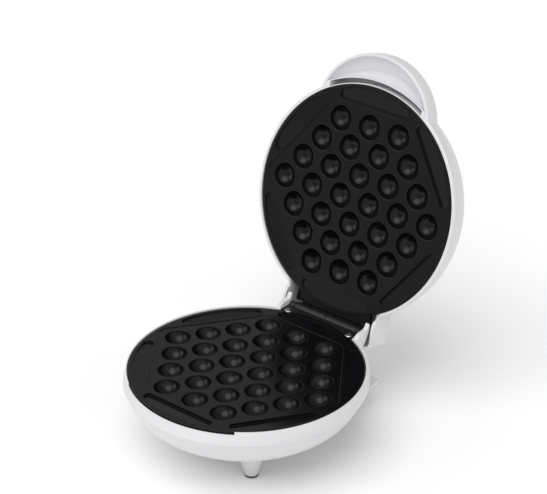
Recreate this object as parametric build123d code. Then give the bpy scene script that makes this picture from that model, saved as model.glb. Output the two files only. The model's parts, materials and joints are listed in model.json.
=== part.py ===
from build123d import *
import math
import os

# A bubble waffle maker for the table top, standing with its lid open.
# Two round cast plates with thirty cups each sit in white moulded shells, and a hinge at the
# back carries the upper shell. Lengths are in millimetres, X runs along the hinge, +Y points
# from the handle to the hinge and +Z up.
# The pieces are first built about the centre of the lower plate, with the lid closed and the
# plane in which the two plates meet at z = 0. The end of the file opens the lid and stands
# the maker on its feet, with the origin in the middle of the space that it covers.

# Driving dimensions of the plates
CUP_COUNTS = (3, 4, 5, 6, 5, 4, 3)
CUP_PITCH = 31.0
ROW_SHARE = 0.7032
CUP_R_SHARE = 0.3323
CUP_DEPTH_SHARE = 0.8932
CUP_WALL = 2.4
PLATE_MARGIN = 12.7
PLATE_T = 6.1
PLATE_GAP = 0.8
FIELD_MARGIN = 4.8
FIELD_DEPTH = 2.0
FIELD_CORNER_R = 8.0
RIDGE_W = 2.0
POCKET_MARGIN = 3.7
POCKET_DEPTH = 3.6
POCKET_LENGTH_SHARE = 0.7164
POCKET_CORNER = 2.5

# Driving dimensions of the hinge and of the opening
HINGE_BEHIND = 8.1
HINGE_DROP = 2.8
BARREL_R = 3.9
BARREL_LENGTH = 68.0
KNUCKLE_W = 6.0
KNUCKLE_GAP = 0.3
PIN_R = 1.5
OPEN_ANGLE = 107.3

# Driving dimensions of the lower shell
LEG_H = 32.0
RIM_W = 3.9
BASE_DEPTH = 46.0
BASE_CURVE_W = 44.4
BASE_BAND = 6.0
SHELL_WALL = 2.5
SHELL_GAP = 0.6
LEDGE_W = 5.0
LEDGE_T = 2.5

# Driving dimensions of the upper shell, its handle and its hinge hood
LID_STEP = 0.8
LID_LEAN = 4.6
LID_ROUND_R = 12.0
CROWN_RISE = 2.5
CROWN_SLOPE_W = 15.0
HANDLE_R = 54.6
HANDLE_REACH = 28.5
HANDLE_H = 18.0
HANDLE_WALL = 2.3
HOOD_REACH = 12.0
HOOD_H = 24.0
HOOD_DROP = 5.8
HOOD_WALL = 2.5
HOOD_GAP = 1.0
EAR_W = 5.6

# Driving dimensions of the heating parts
ELEMENT_RING_SHARE = 0.4975
ELEMENT_R = 3.25
ELEMENT_SWEEP = 316.0
ELEMENT_LEVEL = 17.0
SHIELD_LEVEL = 25.0
SHIELD_ROOM = 11.0
SHIELD_MARGIN = 12.5
SHIELD_T = 0.8

# Clearances and the overrun of every cut
TOUCH = 0.05
RUNNING = 0.05
CLEAR = 0.3
OVER = 5.0
PEG_SIDES = 6
BAR_SIDES = 8
RING_SIDES = 24
LEG_SIDES = 12
SHELL_SIDES = 48
BARREL_SIDES = 16
DECIMAL_COUNT = 6
QUARTER_ANGLE = 90
FRONT_ANGLE = 270

# Sizes and places of the plates that follow from the cups
ROW_PITCH = CUP_PITCH * ROW_SHARE
CUP_R = CUP_PITCH * CUP_R_SHARE
CUP_DEPTH = CUP_R * CUP_DEPTH_SHARE
PLATE_R = (max(CUP_COUNTS) - 1) / 2 * CUP_PITCH + CUP_R + PLATE_MARGIN
FIELD_EDGE = (len(CUP_COUNTS) - 1) / 2 * ROW_PITCH + CUP_R + FIELD_MARGIN
POCKET_R = PLATE_R - POCKET_MARGIN
POCKET_LENGTH = PLATE_R * POCKET_LENGTH_SHARE
ELEMENT_RING_R = PLATE_R * ELEMENT_RING_SHARE
LAND = -PLATE_GAP / 2
BACK = LAND - PLATE_T
FIELD = LAND - FIELD_DEPTH
CUP_BOTTOM = FIELD - CUP_DEPTH
SHIELD_TOP = -SHIELD_LEVEL + SHIELD_T
SIDE_ANGLE = math.degrees(math.atan2(CUP_PITCH / 2, ROW_PITCH))
SIDE_ANGLES = (SIDE_ANGLE, 90, 180 - SIDE_ANGLE, 180 + SIDE_ANGLE, 270, 360 - SIDE_ANGLE)

# Sizes and places of the shells and the hinge that follow from the plates
HINGE_Y = PLATE_R + HINGE_BEHIND
HINGE_Z = -HINGE_DROP
KNUCKLE_IN = BARREL_LENGTH / 2 + KNUCKLE_GAP
KNUCKLE_OUT = KNUCKLE_IN + KNUCKLE_W
TONGUE_W = 2 * (KNUCKLE_OUT - CLEAR)
EAR_IN = KNUCKLE_OUT + 2 * CLEAR
EAR_OUT = EAR_IN + EAR_W
HOOD_IN = EAR_OUT + HOOD_GAP
HOOD_W = 2 * (HOOD_IN + HOOD_WALL)
HOOD_BACK = HINGE_Y + HOOD_REACH
BASE_R = PLATE_R + RIM_W
BASE_FLAT_R = BASE_R - BASE_CURVE_W
STAND_H = BASE_DEPTH + LEG_H
LID_R = BASE_R - LID_STEP
LID_SHOULDER_R = LID_R - LID_LEAN
LID_IN_R = LID_R - 2 * SHELL_WALL
LID_H = SHIELD_LEVEL + SHIELD_ROOM
LID_SHOULDER_H = LID_H - CROWN_RISE
CROWN_FLAT_R = LID_SHOULDER_R - LID_ROUND_R - CROWN_SLOPE_W
HANDLE_BEHIND = PLATE_R + HANDLE_REACH - HANDLE_R
RIM = -SHELL_GAP / 2


def polar(radius, angle):
    """A point at a radius and an angle in degrees."""
    return (radius * math.cos(math.radians(angle)), radius * math.sin(math.radians(angle)))


def peg(radius, low, high, x=0, y=0, sides=PEG_SIDES):
    """A many-sided bar between two levels, for the hidden screws and their holes."""
    return prism(Pos(x, y) * RegularPolygon(radius, sides), low, high)


def drum(radius, low, high):
    """A wide upright round body, in the same flat steps as the shells."""
    return faceted([(0, low), (radius, low), (radius, high), (0, high)], SHELL_SIDES)


def hoop(outer, inner, low, high):
    """A drum with a wide hole through it."""
    return faceted([(inner, low), (outer, low), (outer, high), (inner, high)], SHELL_SIDES)


def block(x_range, y_range, z_range):
    """A box between two values along each axis."""
    centre = [(low + high) / 2 for low, high in (x_range, y_range, z_range)]
    size = [high - low for low, high in (x_range, y_range, z_range)]
    return Pos(*centre) * Box(*size)


def prism(face, low, high):
    """A flat face raised from one level to another."""
    return extrude(Pos(0, 0, low) * face, amount=high - low, dir=(0, 0, 1))


def side_slab(points, x_low, x_high):
    """An outline of (y, z) points drawn along X."""
    face = make_face(Polyline(*points, close=True))
    return extrude(Plane.YZ.offset(x_low) * face, amount=x_high - x_low, dir=(1, 0, 0))


def flipped(piece):
    """The same piece on the other side of the plane where the plates meet."""
    return mirror(piece, about=Plane.XY)


def faceted(section, sides, start=0, sweep=360):
    """A closed outline of (radius, level) points carried round the Z axis in flat steps."""
    steps = [start + sweep * step / sides for step in range(sides + 1)]
    loops = [[(*polar(radius, angle), level) for radius, level in section] for angle in steps]
    corners = []
    for near, far in zip(loops, loops[1:]):
        for place, point in enumerate(near):
            following = (place + 1) % len(near)
            corners.append([point, near[following], far[following], far[place]])
    if sweep < 360:
        corners += [loops[0], loops[-1]]
    faces = []
    for points in corners:
        rounded = dict.fromkeys(tuple(round(value, DECIMAL_COUNT) for value in point)
                                for point in points)
        if len(rounded) > 2:
            faces.append(Face(Wire.make_polygon(rounded.keys())))
    return Solid(Shell(faces))


def cross_bore(radius, half_length):
    """A round bar on the hinge axis."""
    return Pos(0, HINGE_Y, HINGE_Z) * Rot(0, 90, 0) * Cylinder(radius, 2 * half_length)


def barrel(radius, low, high):
    """A many-sided bar round the hinge axis, between two places along it."""
    face = Plane.YZ.offset(low) * Pos(HINGE_Y, HINGE_Z) * RegularPolygon(radius, BARREL_SIDES)
    return extrude(face, amount=high - low, dir=(1, 0, 0))


# The cast plates. Their cups stand in rows along the hinge, and each row is shifted by half a
# pitch. A ridge runs round the field of cups, and six shallow pockets beyond it catch the
# batter that runs over.

CUP_SIDES = 8
BUMP_SIDES = 6
CUP_LEVEL_SHARES = (0, 0.6, 1)
CUP_FLOOR_SHARE = 0.42
BUMP_FLARE = 1.8
BUMP_TAPER = 4.0
BUMP_TOP_R = CUP_R + BUMP_FLARE
BUMP_TIP_R = CUP_R - BUMP_TAPER
RIB_WALL = 2.25
RIB_OUT = ELEMENT_RING_R + ELEMENT_R + RIB_WALL
RIB_IN = ELEMENT_RING_R - ELEMENT_R - RIB_WALL
POST_MARGIN = 23.0
POST_RING_R = PLATE_R - POST_MARGIN
POST_ANGLES = (45, 135, 225, 315)
POST_R = 4.5
SCREW_R = 2.0
SCREW_HOLD = 12.0
TONGUE_DROP = 2.6
TONGUE_INSET = 20.0
TONGUE_ROOT = PLATE_R - TONGUE_INSET


def cup_places():
    """The middle of every cup."""
    places = []
    middle = (len(CUP_COUNTS) - 1) / 2
    for row, count in enumerate(CUP_COUNTS):
        for cup in range(count):
            places.append(((cup - (count - 1) / 2) * CUP_PITCH, (row - middle) * ROW_PITCH))
    return places


def cup_hollow():
    """The hollow of one cup, the cap of a ball in rings of flat facets."""
    ball = (CUP_R ** 2 + CUP_DEPTH ** 2) / (2 * CUP_DEPTH)
    section = [(0, LAND), (CUP_R, LAND)]
    for share in CUP_LEVEL_SHARES:
        below = ball - CUP_DEPTH + share * CUP_DEPTH
        width = math.sqrt(max(ball ** 2 - below ** 2, 0))
        section.append((max(width, CUP_FLOOR_SHARE * CUP_R), FIELD - share * CUP_DEPTH))
    return faceted(section + [(0, CUP_BOTTOM)], CUP_SIDES)


def cup_bump():
    """The back of one cup."""
    section = [(0, LAND), (BUMP_TOP_R, LAND), (BUMP_TOP_R, BACK),
               (BUMP_TIP_R, CUP_BOTTOM - CUP_WALL), (0, CUP_BOTTOM - CUP_WALL)]
    return faceted(section, BUMP_SIDES)


def ring_bar(wide):
    """The octagon round the heating element, wider by an amount on all its sides."""
    half = 360 / BAR_SIDES / 2
    radius = (ELEMENT_R + wide) / math.cos(math.radians(half))
    corners = [polar(radius, half + 360 * place / BAR_SIDES) for place in range(BAR_SIDES)]
    return [(ELEMENT_RING_R + x, z - ELEMENT_LEVEL) for x, z in corners]


def hexagon(distance):
    """The outline of the cup field, with its six sides square to SIDE_ANGLES."""
    points = []
    for angle, following in zip(SIDE_ANGLES, SIDE_ANGLES[1:] + (360 + SIDE_ANGLES[0],)):
        half = (following - angle) / 2
        points.append(polar(distance / math.cos(math.radians(half)), angle + half))
    face = make_face(Polyline(*points, close=True))
    turned_back = [v for v in face.vertices() if abs(v.Y) > distance / 2]
    return fillet(turned_back, FIELD_CORNER_R)


def pocket(angle):
    """One run-over pocket, straight beside the ridge and round beside the rim."""
    near = FIELD_EDGE + RIDGE_W
    strip = Pos((near + PLATE_R) / 2, 0) * Rectangle(PLATE_R - near, POCKET_LENGTH)
    face = strip & RegularPolygon(POCKET_R, SHELL_SIDES)
    return Rot(0, 0, angle) * chamfer(face.vertices(), POCKET_CORNER)


def plate_casting():
    """The casting that both plates share, with the cups open upwards."""
    plate = Part() + drum(PLATE_R, BACK, LAND)
    rib = [(RIB_IN, -ELEMENT_LEVEL), (RIB_OUT, -ELEMENT_LEVEL), (RIB_OUT, LAND), (RIB_IN, LAND)]
    plate += faceted(rib, RING_SIDES)
    bump = cup_bump()
    plate += [Pos(x, y, 0) * bump for x, y in cup_places()]
    for angle in POST_ANGLES:
        plate += peg(POST_R, SHIELD_TOP, BACK, *polar(POST_RING_R, angle))
    tongue_y = (TONGUE_ROOT, HINGE_Y - BARREL_R - 3 * CLEAR)
    plate += block((-TONGUE_W / 2, TONGUE_W / 2), tongue_y, (BACK, LAND - TONGUE_DROP))
    plate -= prism(hexagon(FIELD_EDGE) & RegularPolygon(POCKET_R, SHELL_SIDES), FIELD, LAND + OVER)
    hollow = cup_hollow()
    plate -= [Pos(x, y, 0) * hollow for x, y in cup_places()]
    plate -= [prism(pocket(angle), LAND - POCKET_DEPTH, LAND + OVER) for angle in SIDE_ANGLES]
    plate -= element_bar(TOUCH)
    for angle in POST_ANGLES:
        x, y = polar(POST_RING_R, angle)
        plate -= peg(SCREW_R + TOUCH, SHIELD_TOP - OVER, SHIELD_TOP + SCREW_HOLD, x, y)
    return plate


# The lower plate also holds the thermostat, on a pad between its middle cups, and the thermal
# fuse, on a pad near the front rim. The hinge bracket sits on its tongue.

THERMO_PAD_LEVEL = 15.0
THERMO_PAD_W = 13.0
THERMO_PAD_L = 32.0
THERMO_HOLE_PITCH = 24.0
SMALL_SCREW_R = 1.5
SMALL_HOLD = 5.0
FUSE_Y = -(POCKET_R + FIELD_EDGE + RIDGE_W) / 2
FUSE_PAD_W = 30.0
FUSE_PAD_D = 7.0
FUSE_PAD_LEVEL = 10.5
FUSE_R = 2.2
FUSE_LENGTH = 24.0
CLIP_T = 0.8
CLIP_W = 7.0
BRACKET_T = 2.0
BRACKET_HEAD_R = 3.4
BRACKET_SCREW_INSET = 3.9
BRACKET_SCREW_X = KNUCKLE_OUT - 2 * BRACKET_HEAD_R
BRACKET_SCREW_Y = PLATE_R - BRACKET_SCREW_INSET
BRACKET_HEAD_T = 1.1
BRACKET_HOLD = 2.6
BRACKET_LOW = LAND - TONGUE_DROP
BRACKET_TOP = BRACKET_LOW + BRACKET_T


def base_plate():
    """The lower cast plate."""
    plate = plate_casting()
    pad = block((-THERMO_PAD_W / 2, THERMO_PAD_W / 2), (-THERMO_PAD_L / 2, THERMO_PAD_L / 2),
                (-THERMO_PAD_LEVEL, FIELD - CUP_WALL))
    hollow = cup_hollow()
    plate += pad - [Pos(x, y, 0) * hollow for x, y in cup_places()]
    plate += block((-FUSE_PAD_W / 2, FUSE_PAD_W / 2),
                   (FUSE_Y - FUSE_PAD_D / 2, FUSE_Y + FUSE_PAD_D / 2), (-FUSE_PAD_LEVEL, BACK))
    for side in (-1, 1):
        plate -= peg(SMALL_SCREW_R + TOUCH, -THERMO_PAD_LEVEL - OVER,
                     -THERMO_PAD_LEVEL + SMALL_HOLD, y=side * THERMO_HOLE_PITCH / 2)
        x, y = side * BRACKET_SCREW_X, BRACKET_SCREW_Y
        plate -= peg(BRACKET_HEAD_R + CLEAR, BRACKET_LOW, LAND + OVER, x, y, LEG_SIDES)
        plate -= peg(SMALL_SCREW_R + TOUCH, BRACKET_LOW - BRACKET_HOLD, LAND + OVER, x, y)
    return plate


# The sheathed heating element lies in the groove behind each plate. Its two cold ends turn
# away from the plate and carry ceramic beads.

BEAD_R = 3.0
BEAD_LENGTH = 4.0
END_PIN_R = 1.4
END_PIN_LENGTH = 7.0
END_INSET = 4.0


def element_ends():
    """The place of each end of the element."""
    half = ELEMENT_SWEEP / 2 - END_INSET
    return [polar(ELEMENT_RING_R, FRONT_ANGLE + side * half) for side in (-1, 1)]


def element_bar(wide):
    """The bent bar of the element, or its slightly wider groove."""
    return faceted(ring_bar(wide), RING_SIDES, FRONT_ANGLE - ELEMENT_SWEEP / 2, ELEMENT_SWEEP)


def heating_element():
    """A tube bent to an open ring, with a terminal pin at each end."""
    ring = element_bar(0)
    for x, y in element_ends():
        ring += peg(END_PIN_R, -SHIELD_LEVEL - END_PIN_LENGTH, -ELEMENT_LEVEL, x, y)
    return ring


def element_beads():
    """The ceramic beads that carry the two terminal pins through the heat shield."""
    beads = []
    low, high = -SHIELD_LEVEL - BEAD_LENGTH, -ELEMENT_LEVEL - ELEMENT_R
    for x, y in element_ends():
        bead = peg(BEAD_R, low, high, x, y)
        beads.append(bead - peg(END_PIN_R + TOUCH, low - OVER, high + OVER, x, y))
    return Compound(children=beads)


# A thin dished heat shield is screwed to the four posts of each plate.

SHIELD_RIM_H = 9.0
SHIELD_RIM_W = 4.0
SHIELD_R = PLATE_R - SHIELD_MARGIN
SHIELD_EDGE_R = SHIELD_R - SHIELD_RIM_W


def heat_shield():
    """A shallow aluminium pan with holes for the screws and the element ends."""
    outline = [
        (0, -SHIELD_LEVEL),
        (SHIELD_EDGE_R, -SHIELD_LEVEL),
        (SHIELD_R, -SHIELD_LEVEL + SHIELD_RIM_H),
        (SHIELD_R - SHIELD_T, -SHIELD_LEVEL + SHIELD_RIM_H),
        (SHIELD_EDGE_R - SHIELD_T, SHIELD_TOP),
        (0, SHIELD_TOP),
    ]
    pan = faceted(outline, RING_SIDES)
    for angle in POST_ANGLES:
        x, y = polar(POST_RING_R, angle)
        pan -= peg(SCREW_R + CLEAR, -SHIELD_LEVEL - OVER, SHIELD_TOP + OVER, x, y)
    for x, y in element_ends():
        pan -= peg(BEAD_R + TOUCH, -SHIELD_LEVEL - OVER, SHIELD_TOP + OVER, x, y)
    return pan


# Thermostat, thermal fuse and their fixings on the lower plate.

THERMO_R = 7.8
THERMO_H = 6.2
THERMO_FLANGE_T = 1.2
THERMO_LUG_R = 3.4
BLADE_W = 5.0
BLADE_T = 0.8
BLADE_OUT = 9.0
SMALL_HEAD_R = 2.8
SMALL_HEAD_T = 1.6
SCREW_HEAD_R = 3.6
SCREW_HEAD_T = 2.4


def thermostat():
    """A round snap-disc thermostat with a two-eared flange and two blade terminals."""
    top = -THERMO_PAD_LEVEL
    body = [(0, top - THERMO_H), (THERMO_R, top - THERMO_H), (THERMO_R, top), (0, top)]
    switch = Part() + faceted(body, RING_SIDES)
    for side in (-1, 1):
        eye = peg(THERMO_LUG_R, top - THERMO_FLANGE_T, top, y=side * THERMO_HOLE_PITCH / 2)
        switch += eye
        low, high = sorted((0, side * THERMO_HOLE_PITCH / 2))
        switch += block((-THERMO_LUG_R, THERMO_LUG_R), (low, high), (top - THERMO_FLANGE_T, top))
        low, high = sorted((0, side * (THERMO_R + BLADE_OUT)))
        switch += block((low, high), (-BLADE_W / 2, BLADE_W / 2),
                        (top - THERMO_H, top - THERMO_H + BLADE_T))
    for side in (-1, 1):
        switch -= peg(SMALL_SCREW_R + CLEAR, top - THERMO_H, top + OVER,
                      y=side * THERMO_HOLE_PITCH / 2)
    return switch


def hanging_screw(x, y, seat, hold, radius, head_r, head_t):
    """A screw driven upwards, with its head under the level seat."""
    return peg(radius, seat, seat + hold, x, y) + peg(head_r, seat - head_t, seat, x, y)


def thermostat_screws():
    """Two small screws through the ears of the thermostat."""
    seat = -THERMO_PAD_LEVEL - THERMO_FLANGE_T
    hold = THERMO_FLANGE_T + SMALL_HOLD - CLEAR
    return Compound(children=[
        hanging_screw(0, side * THERMO_HOLE_PITCH / 2, seat, hold, SMALL_SCREW_R, SMALL_HEAD_R,
                      SMALL_HEAD_T)
        for side in (-1, 1)
    ])


def fuse_bar(radius, length):
    """A many-sided bar along X against the fuse's pad, with its flat sides up and down."""
    face = RegularPolygon(radius, BAR_SIDES, major_radius=False)
    bar = extrude(Plane.YZ * Rot(0, 0, 180 / BAR_SIDES) * face, amount=length / 2, both=True)
    return Pos(0, FUSE_Y, -FUSE_PAD_LEVEL - FUSE_R) * bar


def thermal_fuse():
    """A thermal fuse in its insulating sleeve."""
    return fuse_bar(FUSE_R, FUSE_LENGTH)


def fuse_clip():
    """A strip of sheet bent round the fuse, with one foot."""
    level = -FUSE_PAD_LEVEL
    outer = FUSE_R + CLIP_T
    strap = fuse_bar(outer, CLIP_W)
    strap += block((-CLIP_W / 2, CLIP_W / 2), (FUSE_Y - outer, FUSE_Y + outer),
                   (level - FUSE_R, level))
    strap -= fuse_bar(FUSE_R + TOUCH, CLIP_W + OVER)
    strap -= block((-CLIP_W, CLIP_W), (FUSE_Y - FUSE_R - TOUCH, FUSE_Y + FUSE_R + TOUCH),
                   (level - FUSE_R, level + OVER))
    return strap


# The hinge. A bracket with two end knuckles is screwed to the tongue of the lower plate, and
# a leaf with one long grooved barrel to the tongue of the upper plate. One pin joins them.

BRACKET_ROOT = 6.0
GROOVE_W = 1.0
GROOVE_DEPTH = 0.7
LEAF_T = 2.0
LEAF_ROOT = 14.0
LEAF_SCREW_SHARE = 0.294
LEAF_SCREW_INSET = 4.2
LEAF_SCREW_X = BARREL_LENGTH * LEAF_SCREW_SHARE
LEAF_SCREW_Y = HINGE_Y - LEAF_ROOT + LEAF_SCREW_INSET
LEAF_HOLD = 2.9


def hinge_bracket():
    """The lower half of the hinge."""
    tongue_end = HINGE_Y - BARREL_R - 4 * CLEAR
    flange = block((-KNUCKLE_OUT, KNUCKLE_OUT), (PLATE_R - BRACKET_ROOT, tongue_end),
                   (BRACKET_LOW, BRACKET_TOP))
    flange -= drum(PLATE_R + CLEAR, BRACKET_LOW - OVER, BRACKET_TOP + OVER)
    for side in (-1, 1):
        x, y = side * BRACKET_SCREW_X, BRACKET_SCREW_Y
        flange += peg(BRACKET_HEAD_R, BRACKET_LOW, BRACKET_TOP, x, y, LEG_SIDES)
        low, high = sorted((side * KNUCKLE_IN, side * KNUCKLE_OUT))
        flange += block((low, high), (tongue_end - BRACKET_T, HINGE_Y), (BRACKET_LOW, BRACKET_TOP))
        flange += barrel(BARREL_R, low, high)
        flange -= peg(SMALL_SCREW_R + CLEAR, BRACKET_LOW - OVER, BRACKET_TOP + OVER, x, y)
    return flange - cross_bore(PIN_R + TOUCH, KNUCKLE_OUT + OVER)


def bracket_screws():
    """Two bright round-headed screws that hold the bracket."""
    screws = []
    for side in (-1, 1):
        x, y = side * BRACKET_SCREW_X, BRACKET_SCREW_Y
        shank = peg(SMALL_SCREW_R, BRACKET_LOW - BRACKET_HOLD + CLEAR, BRACKET_TOP, x, y)
        top = BRACKET_TOP + BRACKET_HEAD_T
        head = [(0, BRACKET_TOP), (BRACKET_HEAD_R, BRACKET_TOP), (BRACKET_HEAD_R / 2, top), (0, top)]
        screws.append(shank + Pos(x, y, 0) * faceted(head, LEG_SIDES))
    return Compound(children=screws)


def hinge_pin():
    """The pin, flush with the outer ends of the knuckles."""
    return cross_bore(PIN_R, KNUCKLE_OUT)


def hinge_leaf():
    """The upper half of the hinge, a bent leaf that ends in the barrel."""
    half = BARREL_LENGTH / 2
    top = -BACK + LEAF_T
    front = HINGE_Y - BARREL_R
    leaf = block((-half, half), (HINGE_Y - LEAF_ROOT, HINGE_Y), (-BACK, top))
    leaf += block((-half, half), (front, HINGE_Y), (HINGE_Z, top))
    leaf += barrel(BARREL_R, -half, half)
    groove = barrel(BARREL_R + OVER, -GROOVE_W / 2, GROOVE_W / 2)
    groove -= barrel(BARREL_R - GROOVE_DEPTH, -GROOVE_W, GROOVE_W)
    leaf -= groove & block((-GROOVE_W, GROOVE_W), (HINGE_Y - OVER, HINGE_Y + OVER),
                           (HINGE_Z - OVER, BARREL_R + HINGE_Z - TOUCH))
    for side in (-1, 1):
        leaf -= peg(SMALL_SCREW_R + CLEAR, -BACK - OVER, top + OVER, side * LEAF_SCREW_X,
                    LEAF_SCREW_Y)
    return leaf - cross_bore(PIN_R + RUNNING, half + OVER)


def leaf_screws():
    """Two screws that hold the leaf to the tongue of the upper plate."""
    seat = -BACK + LEAF_T
    screws = []
    for side in (-1, 1):
        x, y = side * LEAF_SCREW_X, LEAF_SCREW_Y
        shank = peg(SMALL_SCREW_R, -BACK - LEAF_HOLD + CLEAR, seat, x, y)
        screws.append(shank + peg(SMALL_HEAD_R, seat, seat + SMALL_HEAD_T, x, y))
    return Compound(children=screws)


# Four steel clips, screwed to the back of the upper plate, hook over a ledge in the upper
# shell and hold the plate in it.

LEDGE_R = PLATE_R + CLEAR - LEDGE_W
CLIP_ANGLES = (8, 172, 242.7, 297.3)
CLIP_INSET = 9.9
CLIP_FOOT = 3.6
CLIP_HOLD = 2.6
CLIP_SCREW_RING_R = PLATE_R - CLIP_INSET
CLIP_IN_R = CLIP_SCREW_RING_R - CLIP_FOOT
CLIP_RISER_R = LEDGE_R * math.cos(math.pi / RING_SIDES) - CLEAR
CLIP_REACH = 2.6
CLIP_SPAN = 12.0


def lid_plate():
    """The upper cast plate, face down over the lower one."""
    plate = flipped(plate_casting())
    for side in (-1, 1):
        plate -= peg(SMALL_SCREW_R + TOUCH, -BACK - LEAF_HOLD, -BACK + OVER, side * LEAF_SCREW_X,
                     LEAF_SCREW_Y)
    for angle in CLIP_ANGLES:
        plate -= Rot(0, 0, angle) * peg(SMALL_SCREW_R + TOUCH, -BACK - CLIP_HOLD, -BACK + OVER,
                                        CLIP_SCREW_RING_R)
    return plate


def lid_clips():
    """The four retaining clips."""
    low = -BACK
    high = low + LEDGE_T + CLIP_T
    foot = block((CLIP_IN_R, CLIP_RISER_R), (-CLIP_SPAN / 2, CLIP_SPAN / 2), (low, low + CLIP_T))
    riser = block((CLIP_RISER_R - CLIP_T, CLIP_RISER_R), (-CLIP_SPAN / 2, CLIP_SPAN / 2),
                  (low, high))
    hook = block((CLIP_RISER_R - CLIP_T, CLIP_RISER_R + CLIP_REACH),
                 (-CLIP_SPAN / 2, CLIP_SPAN / 2), (high - CLIP_T, high))
    clip = foot + riser + hook
    clip -= peg(SMALL_SCREW_R + CLEAR, low - OVER, high + OVER, CLIP_SCREW_RING_R)
    return Compound(children=[Rot(0, 0, angle) * clip for angle in CLIP_ANGLES])


def lid_clip_screws():
    """One screw in the foot of each clip."""
    seat = -BACK + CLIP_T
    screw = peg(SMALL_SCREW_R, -BACK - CLIP_HOLD + CLEAR, seat, CLIP_SCREW_RING_R)
    screw += peg(SMALL_HEAD_R, seat, seat + SMALL_HEAD_T, CLIP_SCREW_RING_R)
    return Compound(children=[Rot(0, 0, angle) * screw for angle in CLIP_ANGLES])


def lid_shield_screws():
    """Four screws that hold the upper heat shield to the posts of its plate."""
    seat = SHIELD_LEVEL
    screws = []
    for angle in POST_ANGLES:
        x, y = polar(POST_RING_R, angle)
        shank = peg(SCREW_R, -SHIELD_TOP - SCREW_HOLD + CLEAR, seat, x, y)
        screws.append(shank + peg(SCREW_HEAD_R, seat, seat + SCREW_HEAD_T, x, y))
    return Compound(children=screws)


# The lower shell: a deep bowl with a flat bottom, four legs, a seat for the plate, a scooped
# band and a notch at the front for the fingers, and at the back a flat recess between two
# ears that flank the hinge.

RIM_BEVEL = 1.0
SEAT_R = PLATE_R + CLEAR
INNER_R = BASE_R - SHELL_WALL
BAND_SLOPE = 0.246
BAND_SHIFT = 2.3
BAND_INSET = 1.6
BAND_R = BASE_R - BAND_INSET
BAND_DEPTH = 17.0
NOTCH_DEPTH = 4.5
NOTCH_HALF_ANGLE = 31.0
RECESS_BEHIND = 8.0
RECESS_Y = HINGE_Y - RECESS_BEHIND
BOSS_R = 4.6
BOSS_H = 7.0
BOSS_BORE_R = SCREW_R + CLEAR
COUNTERBORE_R = SCREW_HEAD_R + 2 * CLEAR
HEAD_SEAT = SHIELD_LEVEL + BOSS_H
LEG_SHARE = 0.55
LEG_OUT = BASE_FLAT_R * LEG_SHARE
LEG_PLACES = ((LEG_OUT, -LEG_OUT), (-LEG_OUT, -LEG_OUT))
LEG_TOP_R = 10.2
LEG_TIP_R = 5.9
PAD_R = 5.1
PAD_SUNK = 1.0
PAD_PROUD = 1.0
GLAND_INSET = 20.4
GLAND_Y = BASE_R - GLAND_INSET
GLAND_R = 5.5
GLAND_BORE_R = 3.2
GLAND_FLANGE_R = 7.5
GLAND_SEAT = 0.8
TERMINAL_SHARE = 0.733
TERMINAL_Y = BASE_FLAT_R * TERMINAL_SHARE
TERMINAL_ROOM_SHARE = 0.5946
TERMINAL_H = (BASE_DEPTH - SHELL_WALL - SHIELD_LEVEL) * TERMINAL_ROOM_SHARE
TERMINAL_SIZE = (30.0, 14.0, TERMINAL_H)
RIB_T = 2.0
RIB_H = 5.0
BOWL_SIDES = 6
HOLLOW_SIDES = 4


def bowl_section(radius, depth, sides):
    """The wall of the bowl from its flat bottom up: a quarter of an ellipse in chords."""
    points = []
    for step in range(sides + 1):
        out, down = polar(1, QUARTER_ANGLE * step / sides - QUARTER_ANGLE)
        points.append((BASE_FLAT_R + (radius - BASE_FLAT_R) * out,
                       -BASE_BAND + (depth - BASE_BAND) * down))
    return points


def bowl_inside():
    """The hollow of the bowl under the ledge, in flat steps."""
    depth = BASE_DEPTH - SHELL_WALL
    wall = reversed(bowl_section(INNER_R, depth, HOLLOW_SIDES)[:-1])
    section = [(0, BACK), (LEDGE_R, BACK), (LEDGE_R, BACK - LEDGE_T), (INNER_R, BACK - LEDGE_T)]
    return faceted([*section, *wall, (0, -depth)], RING_SIDES)


def inside_bowl():
    """The space in the bowl, slightly enlarged so that what is cut by it ends in its wall."""
    depth = BASE_DEPTH - SHELL_WALL / 2
    radius = BASE_R - SHELL_WALL / 2
    section = [(0, -depth), *bowl_section(radius, depth, BOWL_SIDES), (radius, RIM), (0, RIM)]
    return faceted(section, SHELL_SIDES)


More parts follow.
